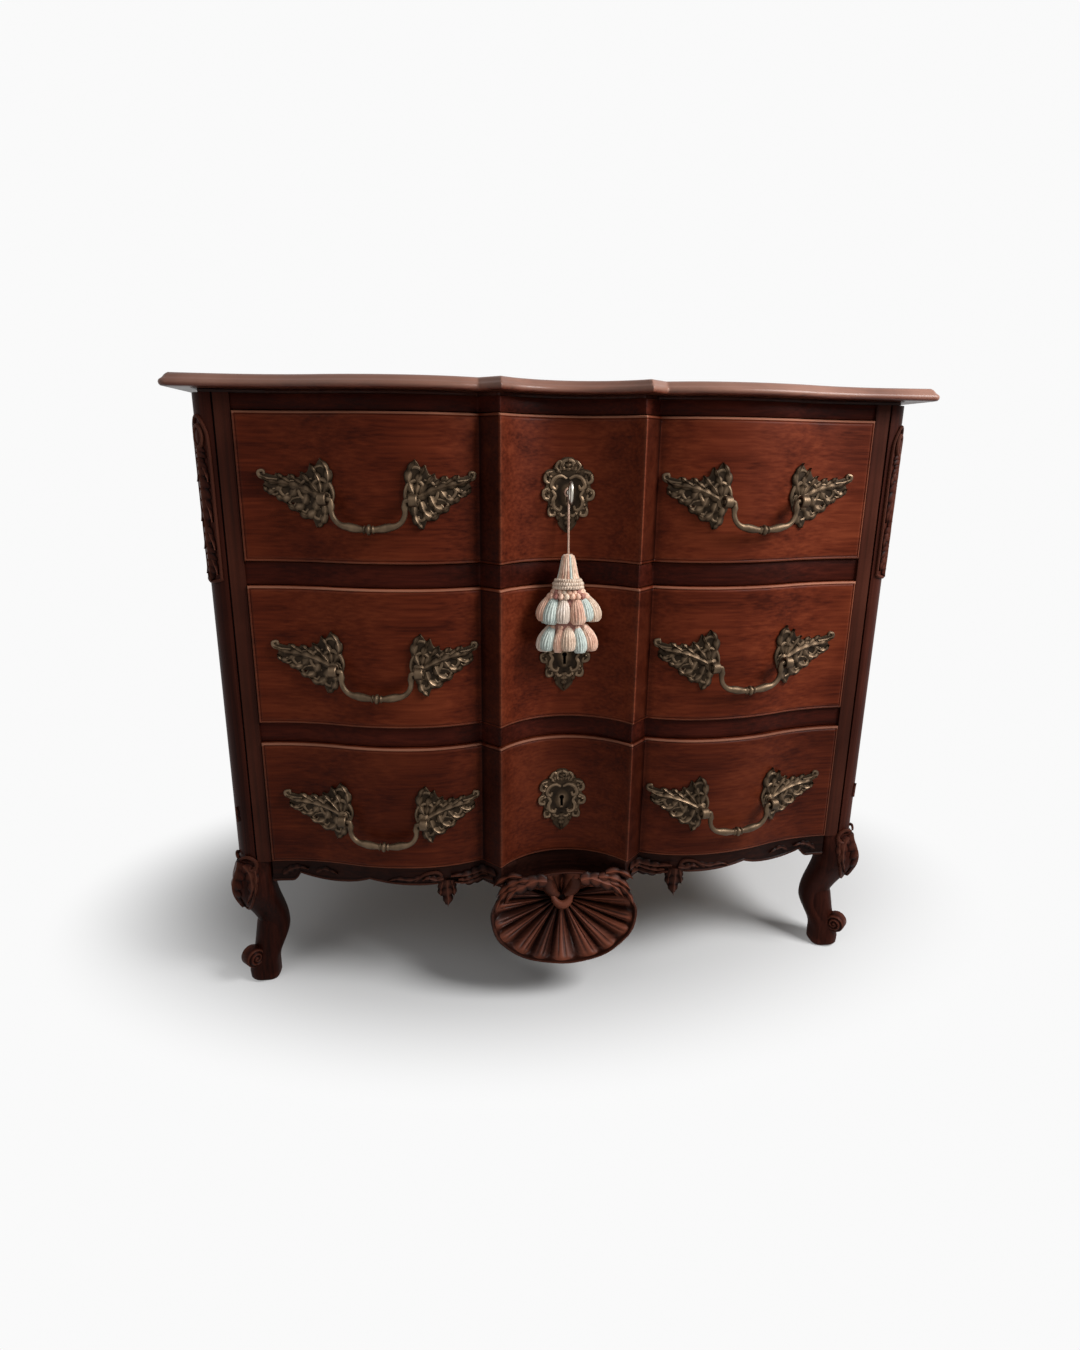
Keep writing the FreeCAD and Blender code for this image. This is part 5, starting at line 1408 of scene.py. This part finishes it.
def bail_line():
    """Half of the bail from the end of its pin to its middle, in its own plane."""
    flat, floor = bail_half - bail_corner, -bail_drop + bail_smile
    line = [(pin_end, 0.0), (pin_end - 1.0, 0.0), (63.0, 0.0), (57.5, 0.0)]
    line += [(bail_half + bend_radius - bend_radius * math.sin(turn), -bend_radius * (1 - math.cos(turn)))
             for turn in turns(6, quarter, True)]
    line.append((bail_half, -9.0))
    line += [(flat + bail_corner * math.cos(turn), floor + bail_corner * (1 - math.sin(turn)))
             for turn in turns(12, quarter, True)]
    line += [(flat * (1 - i / grip_steps), -bail_drop + bail_smile * (1 - i / grip_steps) ** 2)
             for i in range(1, grip_steps + 1)]
    return line


def bail_radius(x, z):
    """Thin at the pins, a bead below each eye, swelling arms, and a ringed middle."""
    if z > -1.0 and x > 56.5:
        return pin_radius if x < pin_end - 0.5 else 3.0
    bead = 1.9 * math.exp(-((z + 8.0) / 2.2) ** 2) if x > 45 else 0.0
    arm = 2.6 * math.exp(-((x - 24.0) / 13.0) ** 2)
    ring_swell = 4.0 * math.exp(-(x / 2.7) ** 4) + 2.2 * math.exp(-((x - 6.4) / 1.3) ** 2)
    return pin_radius + bead + arm + (ring_swell if x < 12 else 0.0)


half_bail = bail_line()
flat_bail = half_bail + flipped(reversed(half_bail[:-1]), -1)
for name in drawers:
    height = drawer_middle(name) - pull_below
    path = [pull_place + pull_along * x + Vector((0, 0, height + z)) for x, z in flat_bail]
    bail = Mould()
    tube(bail, path, [bail_radius(abs(x), z) for x, z in flat_bail], sides=18, wear=0.45)
    for side, made in (("right", bail), ("left", bail.mirrored())):
        piece(f"swan_bail_{name}_{side}", made, [bronze], f"bail_{name}_{side}", "bronze", f"bail_{name}_{side}")

# %% [markdown]
# ## Escutcheons
# A cartouche guards each keyhole: a domed oval pierced by the keyhole, framed by scrolls, with a
# crest above and a hanging leaf below. Its skin runs from the keyhole's outline to the oval and on
# to the outer edge, so the hole goes right through. Leaves and scrolls lie over it, as on the
# pulls.

# %% Drawing of the escutcheons
plate_middle, plate_points = (0.0, -4.0), 96
keyhole = ((0, -15), (-1.9, -15), (-1.9, -10), (-1.9, -3.2), (-3.2, -1.2), (-3.4, 1.0), (-2.4, 2.6), (0, 3.4),
           (2.4, 2.6), (3.4, 1.0), (3.2, -1.2), (1.9, -3.2), (1.9, -10), (1.9, -15))
plate_half = [(0, 50), (7, 49), (12, 44), (18, 40), (22, 33), (30, 32), (36, 26), (34, 16), (33, 8), (38, 2),
              (37, -8), (30, -14), (30, -22), (28, -31), (20, -35), (15, -38), (14, -46), (9, -53), (0, -60)]
plate_edge = plate_half + flipped(reversed(plate_half[1:-1]), -1)
plate_oval = [(14 * math.cos(turn), -4 + 19 * math.sin(turn)) for turn in turns(48)]
plate_steps = ((0, 0.0, -0.4, -1.0), (0, 0.0, 3.0, -0.2), (0, 0.12, 3.9, 0.7), (0, 0.3, 4.1, 0.2),
               (0, 0.6, 3.6, -0.1), (0, 0.85, 2.4, -0.7), (1, 0.0, 2.0, -0.8), (1, 0.3, 2.2, -0.5),
               (1, 0.6, 2.0, -0.3), (1, 0.9, 1.7, 0.1), (1, 1.0, 0.9, -0.3), (1, 1.0, -0.4, -0.8),
               (0, 0.0, -0.4, -1.0))
middle_leaves = (
    ([(0, 30), (0, 39), (0, 49)], 6.5, 6.0, 3, 0.4),
    ([(0, -29), (0, -42), (0, -59)], 7.5, 6.0, 4, 0.3),
)
plate_leaves = (
    ([(5, 31), (10, 37), (13, 44)], 4.5, 5.5, 2, 0.5),
    ([(13, 28), (18, 33), (22, 38)], 4.5, 5.0, 2, 0.5),
    ([(24, 20), (30, 23), (35, 28)], 5.0, 5.5, 2, 0.5),
    ([(26, 2), (32, 0), (37, -5)], 5.0, 5.5, 2, 0.5),
    ([(22, -16), (26, -22), (28, -30)], 5.0, 5.5, 2, 0.5),
    ([(11, -29), (14, -35), (13, -44)], 4.5, 5.0, 2, 0.5),
)
plate_scrolls = (
    ([(2, 19), (11, 23), (21, 19), (25, 9), (19, 4), (16, 10)], 3.8),
    ([(24, 3), (19, -5), (22, -13), (20, -22), (12, -26), (9, -20)], 3.8),
    ([(24, 29), (33, 26), (35, 17), (29, 13), (27, 19)], 3.0),
    ([(29, 5), (37, 1), (36, -8), (29, -10), (30, -4)], 3.0),
    ([(21, -23), (28, -25), (27, -33), (20, -33), (20, -28)], 3.0),
    ([(13, -28), (9, -34), (2, -33)], 2.8),
    ([(12, 28), (18, 36), (13, 43), (7, 40), (10, 35)], 2.6),
)
crest_arch = [(-11, 31), (-10, 41), (0, 46), (10, 41), (11, 31)]
plate_rings = [even_outline(shape, plate_middle, plate_points) for shape in (keyhole, plate_oval, plate_edge)]

print("escutcheon rings of", plate_points, "points:", len(plate_rings))

# %% [markdown]
# The plate's skin is closed behind by a last row that repeats the first. Everything is laid on the
# hollow middle of the drawer, as the pulls are on its bulges, so one drawing serves all three
# drawers.

# %% Escutcheons


def escutcheon(key_z):
    """One plate around a keyhole at that height."""
    def lay(u, v, high):
        return (u, face(u) - plate_seat - high, key_z + v)

    def base(step, i):
        span, share, high, wear = step
        (a, b), (c, d) = plate_rings[span][i], plate_rings[span + 1][i]
        return lay(a + share * (c - a), b + share * (d - b), high), wear

    mould = Mould()
    mould.weave(plate_steps, range(plate_points), base, around=True)
    spray(mould, middle_leaves, lay, (1,), count=22, curl=0.4)
    spray(mould, plate_leaves, lay, count=22, curl=0.4)
    for line, radius in plate_scrolls:
        for side in (-1, 1):
            bead_line(mould, flipped(line, side), radius, lay, count=28, wear=0.75)
    bead_line(mould, crest_arch, 2.8, lay, count=32, wear=0.75)
    return mould


for name in drawers:
    piece(f"cartouche_{name}", escutcheon(drawer_middle(name) - key_below), [bronze], f"drawer_{name}", "bronze",
          f"escutcheon_{name}")

# %% [markdown]
# ## Key
# The key of the top drawer is forged: a turned shank with a collar, an oval bow that is pinched
# where it meets the shank, and a flat bit inside the lock. It rides on its own body, because it
# turns.

# %% Key
key_start, key_end = -32.0, 30.0
bow_y, bow_long, bow_high, bow_rim = key_start - 11.0, 10.6, 14.6, 2.5
shank = [(0, 2.4), (1, 4.0), (2.5, 4.4), (4, 3.6), (5, 3.0), (6, 3.9), (7, 3.0), (8, 2.9), (61, 2.9), (62, 2.4)]
key = Mould()
turned_bar(key, (0, key_start - 1, key_height), (0, 1, 0), shank, wear=0.4)
ring = []
for turn in turns(40, closed=True):
    pinch = 1 - 0.16 * math.exp(-((math.cos(turn) - 1) / 0.35) ** 2)
    ring.append((0.0, bow_y + bow_long * math.cos(turn), key_height + bow_high * pinch * math.sin(turn)))
tube(key, ring, [bow_rim] * len(ring), sides=14, wear=0.5)
box_block(key, -1.5, 1.5, key_end - 11, key_end - 1, key_height - 13, key_height - 1.0, ease=0.5)
piece("steel_key", key, [key_metal], "key", "key_metal", "key")

# %% [markdown]
# ## Sides and back
# Each side is a frame with one panel held in grooves. The panel's field is raised by a broad bevel,
# as panels of this kind are planed, and stands just behind the face of the frame. The back is three
# plain level boards; their long edges are eased, so that the joints show as they do on real boards.

# %% Side panels and back
panel_y0, panel_y1, panel_z0, panel_z1 = 56.0, 448.0, 277.0, 891.0
panel_x, panel_half_thick = 518.0, 6.0
panel_steps = ((0, -panel_half_thick, -0.3), (0, 1.0, -0.8), (8, 1.0, -0.8), (11, 1.6, -0.4), (46, 8.0, 0.1),
               (48, 9.8, 0.5), (51, 10.2, 0.4), (60, 10.2, 0.0))
panel = Mould()
rows = []
for inset, out, wear in panel_steps:
    y0, y1, z0, z1 = panel_y0 + inset, panel_y1 - inset, panel_z0 + inset, panel_z1 - inset
    rows.append([(panel_x + out, y, z) for y, z in ((y0, z0), (y1, z0), (y1, z1), (y0, z1))])
panel.add(rows, [wear for inset, out, wear in panel_steps], around=True, caps=True)
for side, made in (("right", panel), ("left", panel.mirrored())):
    piece(f"fielded_panel_{side}", made, [side_wood], "carcass", "show_wood", f"side_panel_{side}", sharp=5)
board_half, board_y0, board_y1, board_ease = 500.0, 476.0, 490.0, 2.5
planks = Mould()
for low, high in ((225.0, 467.167), (467.667, 709.833), (710.333, 952.5)):
    box_block(planks, -board_half, board_half, board_y0, board_y1, low, high, ease=board_ease, wear=0.0)
piece("back_planks", planks, [level_wood], "carcass", "plain_wood", "back_boards")

# %% [markdown]
# ## Finishes for the joiner's pieces
# The rest of the frame keeps its own shape: rails of the sides, rear posts, runners, drawer boxes
# and locks. Each gets the finish of its kind, with the grain along the board.

# %% Carried-over nodes
plain_finishes = {
    "rear_post": post_wood, "side_top_rail": side_wood, "side_bottom_rail": side_wood,
    "drawer_runners": inner_wood, "drawer_guides": inner_wood, "drawer_side": inner_wood,
    "drawer_back": level_wood, "drawer_bottom": level_wood, "lock_case": iron, "lock_bolt": iron,
}
dressed = 0
for node_name, node_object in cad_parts.items():
    for start, finish in plain_finishes.items():
        if node_name.startswith(start):
            node_object.data.materials.clear()
            node_object.data.materials.append(finish)
            dressed += 1
print("frame nodes given a finish", dressed)

# %% [markdown]
# ## Floor and light
# The commode stands on a pale seamless floor. The floor keeps the soft shadow near the object and
# fades to plain white further out, where the camera would see its edge. A curved paper sweep would
# do it in a studio; a fade is simpler and shows no bend.

# %% Floor
floor_half = 9.0
background = (0.955, 0.955, 0.955, 1.0)
floor_mesh = bpy.data.meshes.new("floor")
floor_mesh.from_pydata([(x * floor_half, y * floor_half, 0) for x, y in ((-1, -1), (1, -1), (1, 1), (-1, 1))],
                       [], [(0, 1, 2, 3)])
floor = placed("floor", floor_mesh)


def seen_rays(tree):
    """One where the camera, a shine or clear glass looks straight at the ground, else zero."""
    rays = add_node(tree, "LightPath").node.outputs
    shine = add_node(tree, "Math", {0: rays["Is Glossy Ray"], 1: rays["Is Transmission Ray"]}, operation="MAXIMUM")
    return add_node(tree, "Math", {0: rays["Is Camera Ray"], 1: shine}, operation="MAXIMUM")


floor_finish, tree, shader = blank_finish("pale_floor")
fill(tree, shader, {"Base Color": (0.64, 0.64, 0.64, 1.0), "Roughness": 0.9, "Specular IOR Level": 0.0})
place = add_node(tree, "TexCoord", out="Object")
spread = add_node(tree, "Mapping", {"Vector": place, "Location": (0.0, -0.16, 0.0), "Scale": (1.0, 1.6, 1.0)})
distance = add_node(tree, "VectorMath", {0: spread}, "Value", operation="LENGTH")
fade = ranged(tree, distance, 0.54, 0.98, interpolation_type="SMOOTHSTEP")
share = add_node(tree, "Math", {0: fade, 1: seen_rays(tree)}, operation="MULTIPLY")
white = add_node(tree, "Emission", {"Color": background, "Strength": 1.0})
joined = add_node(tree, "MixShader", {0: share, 1: shader.outputs[0], 2: white})
fill(tree, tree.nodes["Material Output"], {"Surface": joined})
floor_mesh.materials.append(floor_finish)
print("floor", 2 * floor_half, "m wide")

# %% [markdown]
# One large soft lamp stands high at the right, a weaker one at the left, and an even sky fills the
# rest, as the photo's highlights and shadow suggest. Where the camera looks past the floor it sees
# plain white, so the sky can be dim without greying the background.

# %% Sky and lamps
world = bpy.data.worlds.new("studio")
bpy.context.scene.world = world
world.use_nodes = True
tree = world.node_tree
sky = tree.nodes["Background"]
fill(tree, sky, {"Color": (1.0, 1.0, 1.0, 1.0), "Strength": 0.24})
seen = add_node(tree, "Background", {"Color": background, "Strength": 1.0})
joined = add_node(tree, "MixShader", {0: seen_rays(tree), 1: sky.outputs[0], 2: seen})
fill(tree, tree.nodes["World Output"], {"Surface": joined})


def soft_lamp(name, place, aim, size, watts):
    """A square area lamp turned towards a point."""
    data = bpy.data.lights.new(name, "AREA")
    data.size = size
    data.energy = watts
    lamp = placed(name, data)
    lamp.location = place
    lamp.rotation_euler = (Vector(aim) - Vector(place)).to_track_quat("-Z", "Y").to_euler()


soft_lamp("high_lamp", (1.5, -1.0, 1.8), (0.1, -0.1, 0.75), 0.9, 60.0)
soft_lamp("left_lamp", (-2.0, -2.0, 2.6), (0.0, 0.0, 0.7), 2.0, 14.0)
print("stage and lamps set")

# %% [markdown]
